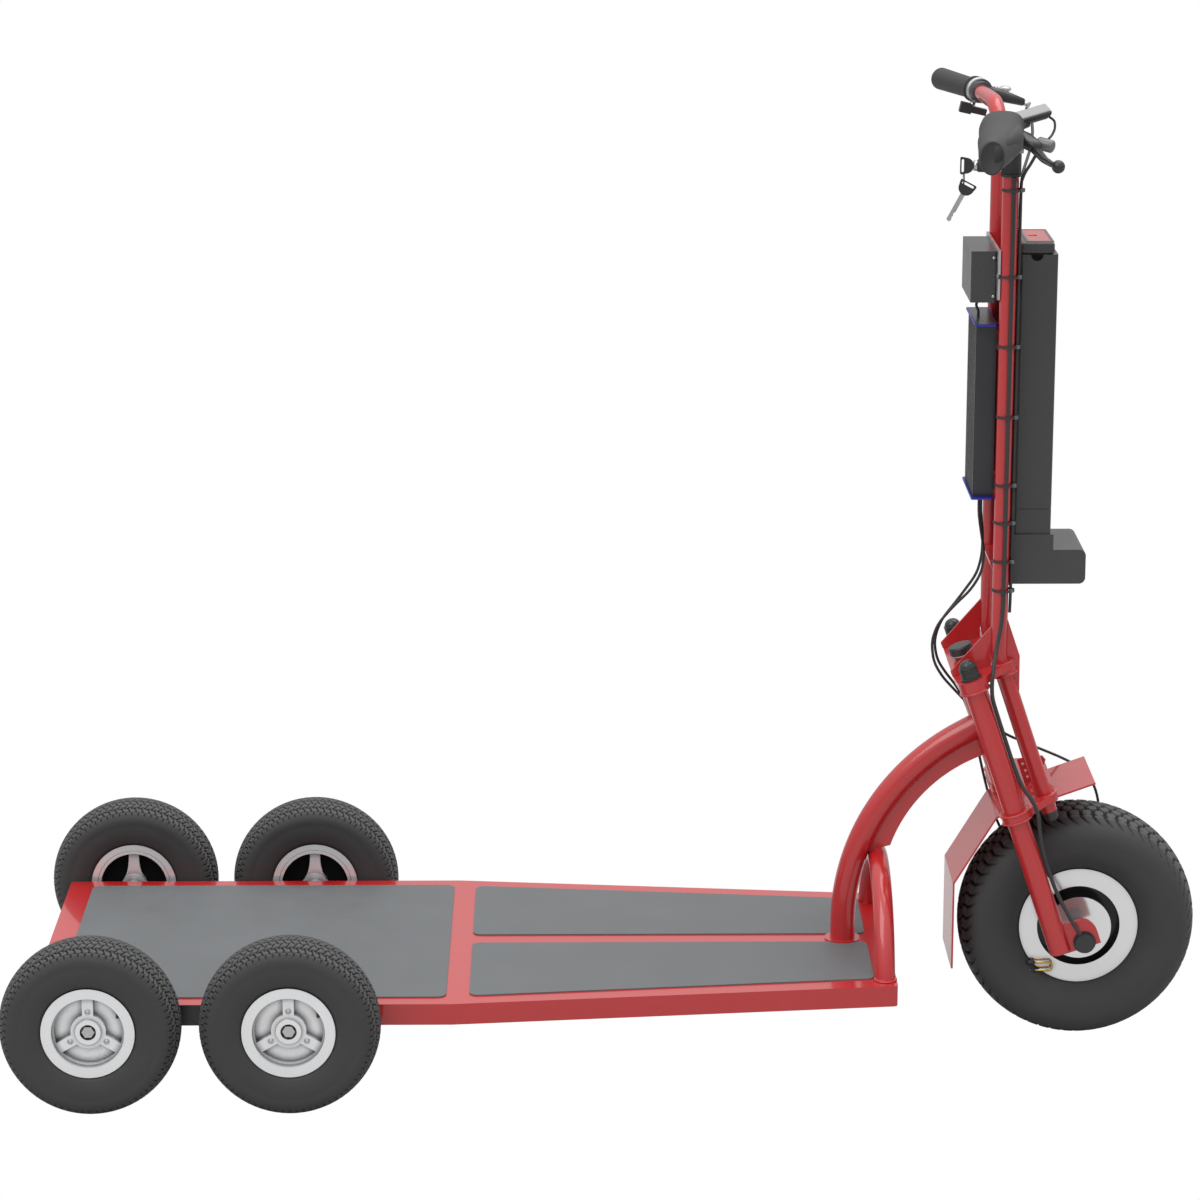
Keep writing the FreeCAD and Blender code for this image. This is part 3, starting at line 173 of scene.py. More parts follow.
finishes = {
    "red_paint": {
        "dark": (0.46, 0.010, 0.013), "light": (0.54, 0.016, 0.019), "cloudScale": 6.0,
        "rough": (0.32, 0.40), "coat": 0.9, "coatRough": 0.07, "grainScale": 160.0, "grainHigh": 0.0002,
        "grainStrength": 0.10,
    },
    "mat_rubber": {
        "dark": (0.112, 0.119, 0.124), "light": (0.160, 0.169, 0.176), "cloudScale": 9.0,
        "rough": (0.55, 0.72), "grainScale": 900.0, "grainHigh": 0.0006, "grainStrength": 0.7,
    },
    "tyre_rubber": {
        "dark": (0.040, 0.040, 0.041), "light": (0.056, 0.056, 0.057), "cloudScale": 14.0,
        "rough": (0.55, 0.68), "grainScale": 700.0, "grainHigh": 0.0003, "specular": 0.35,
    },
    "alloy_silver": {
        "dark": (0.86, 0.865, 0.875), "light": (0.93, 0.935, 0.945), "cloudScale": 11.0, "metallic": 0.55,
        "rough": (0.24, 0.32), "grainScale": 1200.0, "grainHigh": 0.0001, "grainStrength": 0.02,
        # painted shade in creases by ambient occlusion: reach, and the darkest tone
        "painted_shade": (0.011, 0.12),
    },
    "zinc_steel": {
        "dark": (0.52, 0.52, 0.53), "light": (0.66, 0.66, 0.67), "cloudScale": 30.0, "metallic": 1.0,
        "rough": (0.28, 0.42), "grainScale": 900.0, "grainHigh": 0.0001,
    },
    "black_plastic": {
        "dark": (0.026, 0.026, 0.028), "light": (0.036, 0.036, 0.038), "cloudScale": 20.0,
        "rough": (0.24, 0.34), "grainScale": 1100.0, "grainHigh": 0.0002,
    },
    "dark_case": {
        "dark": (0.046, 0.046, 0.047), "light": (0.060, 0.060, 0.061), "cloudScale": 8.0,
        "rough": (0.24, 0.32), "grainScale": 1500.0, "grainHigh": 0.0001, "grainStrength": 0.1,
    },
    "grip_rubber": {
        "dark": (0.030, 0.030, 0.031), "light": (0.046, 0.046, 0.048), "cloudScale": 18.0,
        "rough": (0.55, 0.70), "grainScale": 1000.0, "grainHigh": 0.0004,
    },
    "fin_alloy": {
        "dark": (0.040, 0.042, 0.046), "light": (0.060, 0.062, 0.068), "cloudScale": 10.0, "metallic": 0.5,
        "rough": (0.26, 0.36), "grainScale": 900.0, "grainHigh": 0.0001,
    },
    "blue_anodised": {
        "dark": (0.030, 0.035, 0.36), "light": (0.045, 0.055, 0.46), "cloudScale": 16.0, "metallic": 0.6,
        "rough": (0.30, 0.42), "grainScale": 900.0, "grainHigh": 0.0001,
    },
    "red_window": {
        "dark": (0.50, 0.02, 0.02), "light": (0.62, 0.03, 0.03), "cloudScale": 25.0,
        "rough": (0.12, 0.20), "coat": 0.5, "coatRough": 0.05, "grainScale": 300.0, "grainHigh": 0.0001,
    },
    "cable_black": {
        "dark": (0.026, 0.026, 0.027), "light": (0.038, 0.038, 0.040), "cloudScale": 40.0,
        "rough": (0.40, 0.52), "grainScale": 1200.0, "grainHigh": 0.0002,
    },
}
materials = {slot: makeFinish(slot, settings) for slot, settings in finishes.items()}
brass = makeFinish("brass", {
    "dark": (0.55, 0.33, 0.08), "light": (0.70, 0.45, 0.14), "cloudScale": 60.0, "metallic": 1.0,
    "rough": (0.22, 0.34), "grainScale": 900.0, "grainHigh": 0.0001,
})
displayGlass = makeFinish("display_glass", {
    "dark": (0.36, 0.365, 0.37), "light": (0.50, 0.505, 0.51), "cloudScale": 14.0, "metallic": 0.3,
    "rough": (0.16, 0.24), "coat": 0.6, "coatRough": 0.05, "grainScale": 900.0, "grainHigh": 0.0001,
    "grainStrength": 0.01,
})
paleGrip = makeFinish("pale_grip", {
    "dark": (0.13, 0.13, 0.132), "light": (0.20, 0.20, 0.203), "cloudScale": 40.0, "metallic": 0.3,
    "rough": (0.30, 0.42), "grainScale": 900.0, "grainHigh": 0.0001, "grainStrength": 0.05,
})
# Painted shade: a near-black, dull finish for sheets laid in hollows where there is only shade.
paintedShadeFill = makeFinish("painted_shade_fill", {
    "dark": (0.004, 0.004, 0.004), "light": (0.007, 0.007, 0.007), "cloudScale": 20.0, "specular": 0.1,
    "rough": (0.75, 0.85), "grainScale": 900.0, "grainHigh": 0.0001, "grainStrength": 0.05,
})


# Painted shade in the grooves and slots and painted light on the block tops, as factors on the rubber's
# colour.
treadLightAndShade = {"groove": 0.12, "top": 1.9, "slot": 0.10}


def paintTreadLightAndShade(material, tones):
    # Painted shade in the grooves and painted light on the block tops: the mesh's own tread value is nought in
    # a groove, a half on the flank and one on the block tops.
    value = addNode(material.node_tree, "Attribute", attribute_name="tread")
    shadeBy(material, value.outputs["Fac"], tones["groove"], tones["top"])


def drawSlotShade(material, settings, tone):
    # Painted shade in the grooves: the same rows and slots that cut the mesh, drawn sharp and dark in the
    # colour from the tyre's own UV map:
    # x counts blocks round the tyre and y counts rows from the crown.
    tree = material.node_tree

    def calc(operation, *values):
        return mathNode(tree, operation, *values)

    def fromMiddle(value):
        # How far a value's fraction is from a half.
        return calc("ABSOLUTE", calc("SUBTRACT", calc("FRACT", value), 0.5))

    pitch, fadeOver = settings["rowPitch"], settings["notchReach"]
    around = settings["radius"] * 2 * math.pi / settings["blocks"]
    mapped = addNode(tree, "UVMap", uv_map="treadMap")
    apart = addNode(tree, "SeparateXYZ", {"Vector": mapped.outputs["UV"]})
    u, v = apart.outputs["X"], apart.outputs["Y"]
    zig = calc("MULTIPLY", calc("SUBTRACT", fromMiddle(u), 0.25), 2 * settings["wave"] / pitch)
    shifted = calc("ADD", v, zig)
    row = calc("ROUND", shifted)
    inRow = calc("SUBTRACT", shifted, row)
    fromRing = calc("SUBTRACT", 0.5, calc("ABSOLUTE", inRow))
    ring = calc("LESS_THAN", fromRing, settings["ringHalf"] / pitch)
    odd = calc("ABSOLUTE", calc("FRACT", calc("MULTIPLY", row, 0.5)))
    side = calc("SUBTRACT", calc("MULTIPLY", odd, 4.0), 1.0)
    lean = calc("MULTIPLY", calc("MULTIPLY", side, inRow), settings["lean"])
    slot = calc("LESS_THAN", fromMiddle(calc("ADD", calc("ADD", u, lean), odd)), settings["slotHalf"] / around)
    reach = calc("ABSOLUTE", v)
    inside = calc("LESS_THAN", reach, settings["lastRow"])
    lines = calc("MULTIPLY", calc("MAXIMUM", ring, slot), inside)
    tickEnd = settings["lastRow"] + fadeOver / pitch
    room = calc("MULTIPLY", calc("SUBTRACT", tickEnd, reach), pitch / fadeOver)
    tick = calc("LESS_THAN", fromMiddle(u), calc("MULTIPLY", room, settings["slotHalf"] / around))
    tick = calc("MULTIPLY", tick, calc("SUBTRACT", 1.0, inside))
    shadeBy(material, calc("MAXIMUM", lines, tick), 1.0, tone)


def darkenRing(material, settings):
    # The motor's turned groove is black: a mask on the distance from the wheel's axis.
    tree = material.node_tree
    shader = tree.nodes["Principled BSDF"]
    plain = shader.inputs["Base Color"].links[0].from_socket
    place = addNode(tree, "TexCoord").outputs["Object"]
    fromAxis = addNode(tree, "VectorMath", {0: place, 1: settings["centre"]}, operation="SUBTRACT").outputs[0]
    flat = addNode(tree, "VectorMath", {0: fromAxis, 1: (1.0, 0.0, 1.0)}, operation="MULTIPLY").outputs[0]
    size = addNode(tree, "VectorMath", {0: flat}, operation="LENGTH").outputs["Value"]
    beyond = mathNode(tree, "GREATER_THAN", size, settings["inner"])
    within = mathNode(tree, "LESS_THAN", size, settings["outer"])
    both = mathNode(tree, "MULTIPLY", beyond, within)
    fill(tree, shader, {"Base Color": mixColours(tree, plain, settings["tone"], both)})


def middleOf(node):
    # The middle of a loaded node's box.
    lower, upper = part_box(node)
    return (np.array(lower) + np.array(upper)) / 2


treadRubber = makeFinish("tread_rubber", finishes["tyre_rubber"])
paintTreadLightAndShade(treadRubber, treadLightAndShade)
slotRubber = makeFinish("slot_rubber", finishes["tyre_rubber"])
paintTreadLightAndShade(slotRubber, treadLightAndShade)
motorFinish = makeFinish("motor_silver", {**finishes["alloy_silver"], "metallic": 0.8, "rough": (0.10, 0.15)})
darkenRing(motorFinish, {
    "centre": tuple(middleOf("front_motor")), "inner": 0.0514, "outer": 0.0666, "tone": (0.03, 0.03, 0.032),
})
for node, item in frame["nodes"].items():
    item.data.materials.clear()
    item.data.materials.append(motorFinish if node == "front_motor" else materials[slotOf[node]])
print("finishes:", len(materials))


# Meshes
def addPiece(name, points, faces, body, slot=None, smooth=True, look=None):
    # One mesh that rides a body, in the look given or else in its slot's own finish.
    mesh = bpy.data.meshes.new(name)
    mesh.from_pydata(np.asarray(points).tolist(), [], [tuple(int(i) for i in face) for face in faces])
    mesh.validate()
    mesh.polygons.foreach_set("use_smooth", [smooth] * len(mesh.polygons))
    mesh.update()
    mesh.materials.append(look or materials[slot])
    piece = bpy.data.objects.new(name, mesh)
    bpy.context.scene.collection.objects.link(piece)
    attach(piece, body)
    return piece


def gridFaces(rows, columns):
    # Quads of a grid of points that closes on itself both ways.
    row, column = np.meshgrid(np.arange(rows), np.arange(columns), indexing="ij")
    nextRow, nextColumn = (row + 1) % rows, (column + 1) % columns
    corners = (row * columns + column, nextRow * columns + column,
               nextRow * columns + nextColumn, row * columns + nextColumn)
    return np.stack([corner.ravel() for corner in corners], axis=1)


def joinParts(parts):
    # One list of points and faces from several.
    points, faces, count = [], [], 0
    for somePoints, someFaces in parts:
        points.append(np.asarray(somePoints, float))
        faces.extend([tuple(int(i) + count for i in face) for face in someFaces])
        count += len(somePoints)
    return np.concatenate(points), faces

def skinFaces(rings, count):
    # Quads between neighbouring rings of count points, and a flat face at both ends.
    faces = []
    for step in range(rings - 1):
        for index in range(count):
            a, b = step * count + index, step * count + (index + 1) % count
            faces.append((a, b, b + count, a + count))
    last = (rings - 1) * count
    faces.append(tuple(range(count - 1, -1, -1)))
    faces.append(tuple(range(last, last + count)))
    return faces
def lathe(profile, centre, axis, count=24):
    # Solid of revolution: (radius, height) pairs turned about the axis through the centre. The first and
    # the last pair are closed by a fan's flat face.
    axis = np.asarray(axis, float) / np.linalg.norm(axis)
    helper = np.array([0.0, 0.0, 1.0]) if abs(axis[2]) < 0.9 else np.array([1.0, 0.0, 0.0])
    first = np.cross(helper, axis)
    first /= np.linalg.norm(first)
    second = np.cross(axis, first)
    turn = np.arange(count) * 2 * np.pi / count
    ring = np.cos(turn)[:, None] * first + np.sin(turn)[:, None] * second
    points = np.concatenate([centre + radius * ring + height * axis for radius, height in profile])
    return points, skinFaces(len(profile), count)


def sweep(path, radius, count=12):
    # Round wire: circles carried along a path, each turned the least from the one before.
    path = np.asarray(path, float)
    heading = np.gradient(path, axis=0)
    heading /= np.linalg.norm(heading, axis=1)[:, None]
    helper = np.array([0.0, 0.0, 1.0]) if abs(heading[0][2]) < 0.9 else np.array([1.0, 0.0, 0.0])
    side = np.cross(helper, heading[0])
    turn = np.arange(count) * 2 * np.pi / count
    rings = []
    for centre, ahead in zip(path, heading):
        side = side - ahead * side.dot(ahead)
        side /= np.linalg.norm(side)
        other = np.cross(ahead, side)
        rings.append(centre + radius * (np.cos(turn)[:, None] * side + np.sin(turn)[:, None] * other))
    return np.concatenate(rings), skinFaces(len(path), count)


def throughArc(start, via, end, count):
    # Points of the circle through three points, from start to end, without the end.
    (ax, ay), (bx, by), (cx, cy) = start, via, end
    double = 2 * (ax * (by - cy) + bx * (cy - ay) + cx * (ay - by))
    a2, b2, c2 = ax ** 2 + ay ** 2, bx ** 2 + by ** 2, cx ** 2 + cy ** 2
    ux = (a2 * (by - cy) + b2 * (cy - ay) + c2 * (ay - by)) / double
    uy = (a2 * (cx - bx) + b2 * (ax - cx) + c2 * (bx - ax)) / double
    radius = math.hypot(ax - ux, ay - uy)
    first, middle, last = (math.atan2(y - uy, x - ux) for x, y in (start, via, end))
    span = (last - first) % (2 * math.pi)
    if (middle - first) % (2 * math.pi) > span:
        span -= 2 * math.pi
    angles = first + span * np.arange(count) / count
    return np.stack([ux + radius * np.cos(angles), uy + radius * np.sin(angles)], axis=1)


# Tyres
def tyreProfile(settings):
    # Half the outside from bead to crown as arcs through three (radius, height) points, then its mirror
    # image and a straight seat: one closed loop, with each point's way along the loop from the crown.
    beadPoint, lowVia, flankPoint, highVia, shoulder = settings["flank"]
    crown = (settings["radius"], 0.0)
    mirrored = (shoulder[0], -shoulder[1])
    flank = np.concatenate([
        throughArc(beadPoint, lowVia, flankPoint, settings["flankSteps"]),
        throughArc(flankPoint, highVia, shoulder, settings["flankSteps"]),
    ])
    top = throughArc(shoulder, crown, mirrored, settings["crownSteps"])
    seat = np.array(settings["seat"])
    loop = np.concatenate([
        seat, flank, top, [mirrored], (flank * [1, -1])[::-1], (seat * [1, -1])[::-1],
    ])
    steps = np.linalg.norm(np.diff(loop, axis=0), axis=1)
    along = np.concatenate([[0.0], np.cumsum(steps)])
    crownIndex = len(seat) + len(flank) + settings["crownSteps"] // 2
    return loop, along - along[crownIndex]


def groove(distance, half, soft=0.0004):
    # One inside a groove's half width, falling to nought over a soft edge.
    return np.clip((half + soft - distance) / soft, 0.0, 1.0)


def blockTread(turn, along, settings):
    # Staggered six-sided blocks: the groove runs where the nearest two block centres are equally far.
    # Outside the last row radial notches take over and fade out on the flank.
    pitch = settings["rowPitch"]
    around = settings["radius"] * 2 * math.pi / settings["blocks"]
    u = turn * settings["blocks"] / (2 * math.pi)
    row = along / pitch
    best, second = np.full(u.shape, 9.0), np.full(u.shape, 9.0)
    for offset in (-1, 0, 1):
        nearRow = np.round(row) + offset
        shift = 0.5 * np.mod(nearRow, 2)
        near = np.round(u - shift) + shift
        for step in (-1, 0, 1):
            distance = np.hypot((u - near - step) * around, (row - nearRow) * pitch * 1.08)
            second = np.where(distance < best, best, np.minimum(second, distance))
            best = np.minimum(best, distance)
    blocks = groove((second - best) / 2, settings["grooveHalf"])
    reach = np.abs(along)
    edge = settings["lastRow"] * pitch
    lean = 0.9 * np.clip((reach - edge) / settings["notchReach"], 0, 1) ** 2
    notch = groove(np.abs(np.mod(u + lean, 1.0) - 0.5) * around, settings["notchHalf"])
    fade = np.clip((edge + settings["notchReach"] - reach) / settings["notchReach"], 0, 1) ** 0.7
    return np.where(reach < edge, blocks, notch * fade)


def slottedTread(turn, along, settings):
    # Rows of small blocks: zigzag grooves run round between the rows, and slanted slots cross each row,
    # leaning the other way in the next. Short slots fade out on the shoulder.
    pitch = settings["rowPitch"]
    around = settings["radius"] * 2 * math.pi / settings["blocks"]
    u = turn * settings["blocks"] / (2 * math.pi)
    shifted = along / pitch + 2 * settings["wave"] / pitch * (np.abs(np.mod(u, 1.0) - 0.5) - 0.25)
    row = np.round(shifted)
    inRow = shifted - row
    rings = groove((0.5 - np.abs(inRow)) * pitch, settings["ringHalf"])
    odd = np.mod(row, 2) * 0.5
    slots = groove(np.abs(np.mod(u + (4 * odd - 1) * inRow * settings["lean"] + odd, 1.0) - 0.5) * around,
                   settings["slotHalf"])
    reach = np.abs(along)
    edge = settings["lastRow"] * pitch
    fade = np.clip((edge + settings["notchReach"] - reach) / settings["notchReach"], 0, 1) ** 0.6
    straight = groove(np.abs(np.mod(u, 1.0) - 0.5) * around, settings["slotHalf"])
    return np.where(reach < edge, np.maximum(rings, slots), straight * fade)


def addTyre(node, body, settings, tread, rubber):
    # The tread is cut inward from the plain profile, along the profile's own normal.
    centre = middleOf(node)
    loop, along = tyreProfile(settings)
    rows = settings["blocks"] * settings["stepsPerBlock"]
    turn = np.arange(rows) * 2 * np.pi / rows
    tangent = np.roll(loop, -1, axis=0) - np.roll(loop, 1, axis=0)
    tangent /= np.linalg.norm(tangent, axis=1)[:, None]
    inward = np.stack([tangent[:, 1], -tangent[:, 0]], axis=1)
    inward *= np.sign(inward[np.argmin(np.abs(along))][0]) * -1
    turns, alongs = np.meshgrid(turn, along, indexing="ij")
    cut = tread(turns, alongs, settings)
    depth = settings["grooveDeep"] * cut
    radius = loop[None, :, 0] + inward[None, :, 0] * depth
    height = loop[None, :, 1] + inward[None, :, 1] * depth
    points = np.stack([
        centre[0] + radius * np.cos(turns), centre[1] + height, centre[2] + radius * np.sin(turns),
    ], axis=2).reshape(-1, 3)
    faces = gridFaces(rows, len(loop))
    name = node + "Tread"
    mesh = bpy.data.meshes.new(name)
    mesh.vertices.add(len(points))
    mesh.vertices.foreach_set("co", points.ravel())
    mesh.loops.add(faces.size)
    mesh.loops.foreach_set("vertex_index", faces[:, ::-1].ravel())
    mesh.polygons.add(len(faces))
    mesh.polygons.foreach_set("loop_start", np.arange(0, faces.size, 4))
    mesh.polygons.foreach_set("use_smooth", np.ones(len(faces), bool))
    mesh.update(calc_edges=True)
    # Painted light and shade: the tread value is nought in the grooves, a half on the flank and one on the
    # block tops of the crown.
    mask = mesh.attributes.new("tread", "FLOAT", "POINT")
    paintedCrownLight = np.clip((settings["treadReach"] - np.abs(alongs)) / 0.004, 0, 1) * 0.5 + 0.5
    mask.data.foreach_set("value", (paintedCrownLight * (1 - cut)).ravel().astype(np.float32))
    corners = faces[:, ::-1] // len(loop)
    wraps = np.ptp(corners, axis=1)[:, None] > 1
    u = np.where(wraps & (corners == 0), rows, corners) / settings["stepsPerBlock"]
    v = along[faces[:, ::-1] % len(loop)] / settings["rowPitch"]
    mesh.uv_layers.new(name="treadMap").uv.foreach_set("vector", np.stack([u, v], axis=2).ravel())
    mesh.validate()
    mesh.materials.append(rubber)
    piece = bpy.data.objects.new(name, mesh)
    bpy.context.scene.collection.objects.link(piece)
    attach(piece, body)
    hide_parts(node)
    return len(faces) * 2


frontTyre = {
    "radius": 0.1905, "blocks": 58, "stepsPerBlock": 12, "crownSteps": 84, "flankSteps": 10,
    "flank": ((0.0981, 0.0508), (0.118, 0.068), (0.143, 0.074), (0.165, 0.070), (0.177, 0.058)),
    "seat": ((0.0882, 0.0), (0.0882, 0.0458), (0.0961, 0.0458)),
    "rowPitch": 0.0165, "lastRow": 2.5, "grooveHalf": 0.0018, "grooveDeep": 0.0044,
    "notchHalf": 0.0024, "notchReach": 0.026, "treadReach": 0.048,
}
rearTyre = {
    "radius": 0.140, "blocks": 74, "stepsPerBlock": 10, "crownSteps": 56, "flankSteps": 8,
    "flank": ((0.0746, 0.0398), (0.091, 0.046), (0.108, 0.047), (0.124, 0.045), (0.132, 0.037)),
    "seat": ((0.0662, 0.0), (0.0662, 0.0358), (0.0726, 0.0358)),
    "rowPitch": 0.0118, "lastRow": 3.5, "slotHalf": 0.0011, "ringHalf": 0.0010, "wave": 0.0046, "lean": 0.55,
    "grooveDeep": 0.0022, "notchReach": 0.008, "treadReach": 0.044,
}
drawSlotShade(slotRubber, rearTyre, treadLightAndShade["slot"])
triangles = addTyre("front_tyre", "front_wheel", frontTyre, blockTread, treadRubber)
for tag in ("1R", "1L", "2R", "2L"):
    triangles += addTyre("rear_tyre_" + tag, "rear_wheel_" + tag, rearTyre, slottedTread, slotRubber)
print("tyres:", triangles, "triangles")


# Small fittings on the wheels
rimFittings = {
    # radius and height of each ring of the screw and of the valve's stem
    "screw": ((0.0046, -0.001), (0.0046, 0.0004), (0.0040, 0.0007), (0.0034, 0.0007), (0.0034, 0.0002),
              (0.0026, 0.0002), (0.0022, 0.0011), (0.0012, 0.0013)),
    "stem": ((0.00364, 0.0), (0.00364, 0.003), (0.0026, 0.005), (0.0026, 0.014), (0.00182, 0.015)),
    "screwCircle": 0.032, "webFace": 0.031, "spokeTurns": (90.0, 210.0, 330.0),
    "valveCircle": 0.0515, "valveTurn": 28.0, "valveSunk": 0.0125,
}


def radialAt(degrees):
    # A unit vector square to a wheel's axis.
    angle = math.radians(degrees)
    return np.array([math.cos(angle), 0.0, math.sin(angle)])


def addRimFittings(tag, settings):
    # Three countersunk screws on the spokes and a rubber valve stem in a window, all facing outward.
    axis = np.array([0.0, -1.0 if tag.endswith("R") else 1.0, 0.0])
    face = middleOf("rear_rim_" + tag) + axis * settings["webFace"]
    screws = [lathe(settings["screw"], face + radialAt(turn) * settings["screwCircle"], axis)
              for turn in settings["spokeTurns"]]
    addPiece("rimScrews" + tag, *joinParts(screws), "rear_wheel_" + tag, "zinc_steel")
    foot = face + radialAt(settings["valveTurn"]) * settings["valveCircle"] - axis * settings["valveSunk"]
    addPiece("rimValve" + tag, *lathe(settings["stem"], foot, axis), "rear_wheel_" + tag, "black_plastic")


for tag in ("1R", "1L", "2R", "2L"):
    addRimFittings(tag, rimFittings)

valve = {"out": 0.0575, "back": -0.078, "bendFront": -0.0455, "high": -0.0600, "low": -0.0735, "wire": 0.0019,
         "sleeve": 0.0030, "sleeveLong": 0.012, "sleeveBack": 0.004, "squash": 0.6}


def addFrontValve(settings):
    # A brass loop lies flat against the motor's ring, its two ends in black sleeves at the tyre's bead.
    centre = middleOf("front_motor")
    y = centre[1] - settings["out"]
    middle = (settings["high"] + settings["low"]) / 2
    radius = (settings["high"] - settings["low"]) / 2
    turn = np.linspace(np.pi / 2, -np.pi / 2, 13)
    ahead = settings["bendFront"] + radius * np.cos(turn) * settings["squash"]
    bend = np.stack([ahead, middle + radius * np.sin(turn)], axis=1)
    back = settings["back"]
    flat = np.concatenate([[(back, settings["high"])], bend, [(back, settings["low"])]])
    path = np.stack([centre[0] + flat[:, 0], np.full(len(flat), y), centre[2] + flat[:, 1]], axis=1)
    points, faces = sweep(path, settings["wire"])
    addPiece("valveLoop", points, faces, "front_wheel", look=brass)
    sleeves = []
    for height in (settings["high"], settings["low"]):
        start = np.array([centre[0] + settings["back"] - settings["sleeveBack"], y, centre[2] + height])
        sleeves.append(sweep([start, start + [settings["sleeveLong"], 0, 0]], settings["sleeve"]))
    addPiece("valveSleeves", *joinParts(sleeves), "front_wheel", "black_plastic")


addFrontValve(valve)
print("wheel fittings done")


# Handlebar
def ovalRing(station, count=40):
    # A superellipse in the X-Z plane, |x/a|^p + |z/b|^p = 1, at the station's Y.
    x, y, z, wide, high, power = station
    turn = np.arange(count) * 2 * np.pi / count
    cosine, sine = np.cos(turn), np.sin(turn)
    across = np.sign(cosine) * np.abs(cosine) ** (2 / power) * wide / 2
    upward = np.sign(sine) * np.abs(sine) ** (2 / power) * high / 2
    return np.stack([x + across, np.full(count, y), z + upward], axis=1)


def loft(rings):
    # Skin through rings of equally many points, with a flat face at both ends.
    return np.concatenate(rings), skinFaces(len(rings), len(rings[0]))


def smoothPath(corners, bends, steps=10):
    # Straight runs with each inner corner rounded by a quadratic curve of the given reach.
    corners = np.asarray(corners, float)
    path = [corners[0]]
    for before, corner, after, reach in zip(corners, corners[1:], corners[2:], bends):
        start = corner + (before - corner) / np.linalg.norm(before - corner) * reach
        end = corner + (after - corner) / np.linalg.norm(after - corner) * reach
        for t in np.linspace(0, 1, steps):
            path.append((1 - t) ** 2 * start + 2 * t * (1 - t) * corner + t ** 2 * end)
    path.append(corners[-1])
    return np.array(path)


def block(centre, size, turns=(0.0, 0.0, 0.0)):
    # Six-sided block of the given size, turned by degrees about X, Y and Z.
    turn = Euler([math.radians(value) for value in turns]).to_matrix()
    signs = [(x, y, z) for x in (-1, 1) for y in (-1, 1) for z in (-1, 1)]
    points = []
    for row in signs:
        points.append(Vector(centre) + turn @ Vector([sign * value / 2 for sign, value in zip(row, size)]))
    faces = [(0, 1, 3, 2), (4, 6, 7, 5), (0, 4, 5, 1), (2, 3, 7, 6), (0, 2, 6, 4), (1, 5, 7, 3)]
    return [tuple(point) for point in points], faces


def softenEdges(piece, width, segments=2):
    # A bevel on every sharp edge.
    bevel = piece.modifiers.new("edges", "BEVEL")
    bevel.width = width
    bevel.segments = segments
    bevel.limit_method = "ANGLE"
    return piece


palmGrip = {
    # x, y, z, wide, high, power of each oval from the bend outward
    "stations": (
        (0.605, -0.122, 1.4935, 0.033, 0.032, 2.0), (0.598, -0.127, 1.4925, 0.052, 0.047, 2.2),
        (0.588, -0.140, 1.4900, 0.065, 0.057, 2.4), (0.585, -0.160, 1.4885, 0.067, 0.057, 2.4),
        (0.582, -0.200, 1.4878, 0.066, 0.055, 2.3), (0.5740, -0.260, 1.4875, 0.068, 0.052, 2.2),
        (0.5620, -0.330, 1.4875, 0.056, 0.051, 2.1), (0.5480, -0.398, 1.4875, 0.041, 0.051, 2.0),
        (0.5460, -0.4125, 1.4875, 0.037, 0.051, 2.0), (0.5455, -0.4170, 1.4875, 0.033, 0.047, 2.0),
    ),
    "endInset": (0.5455, -0.4155, 1.4875, 0.030, 0.044, 2.0),
    "sleeve": ((0.610, -0.086, 1.412), (0.610, -0.086, 1.495), (0.603, -0.150, 1.495)),
    "sleeveRadius": 0.0156, "sleeveBend": 0.040, "lip": 0.0006,
    "bar": ((0.6069, -0.120, 1.495), (0.593, -0.271, 1.495), (0.5462, -0.4145, 1.495)),
    "barRadius": 0.0142, "barBend": 0.0123,
}


def addPalmGrip(settings):
    # The flared rest for the palm, its sleeve round the bend and down the column, and a lip at its foot.
    rings = [ovalRing(station) for station in settings["stations"]] + [ovalRing(settings["endInset"])]
    path = smoothPath(settings["sleeve"], [settings["sleeveBend"]])
    foot = np.array(settings["sleeve"][0])
    radius = settings["sleeveRadius"]
    lip = lathe(((radius + settings["lip"], -0.001), (radius + settings["lip"], 0.0025)), foot, (0, 0, 1), 32)
    bar = sweep(smoothPath(settings["bar"], [settings["barBend"]]), settings["barRadius"], 32)
    points, faces = joinParts([loft(rings), sweep(path, radius, 32), lip, bar])
    grip = addPiece("palmGrip", points, faces, "steering", "grip_rubber")
    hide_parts("grip_right")


addPalmGrip(palmGrip)

displaySettings = {
    # corners of the top plate: farther rear, nearer rear, nearer front, farther front
    "corners": ((0.5986, -0.034), (0.6146, -0.104), (0.6659, -0.104), (0.6655, -0.034)),
    "rearHigh": 1.4950, "frontHigh": 1.5148, "plate": 0.0016, "thick": 0.0135, "case": 1.06, "belly": 0.86,
    "wire": ((0.6640, -0.088, 1.5030), (0.6735, -0.090, 1.4965), (0.6750, -0.094, 1.4860),
             (0.668, -0.106, 1.4750), (0.6613, -0.118, 1.4720)),
    "wireRadius": 0.0019,
    "arm": ((0.604, -0.112, 1.4900), (0.618, -0.108, 1.4890), (0.632, -0.098, 1.4930)), "armRadius": 0.0060,
}


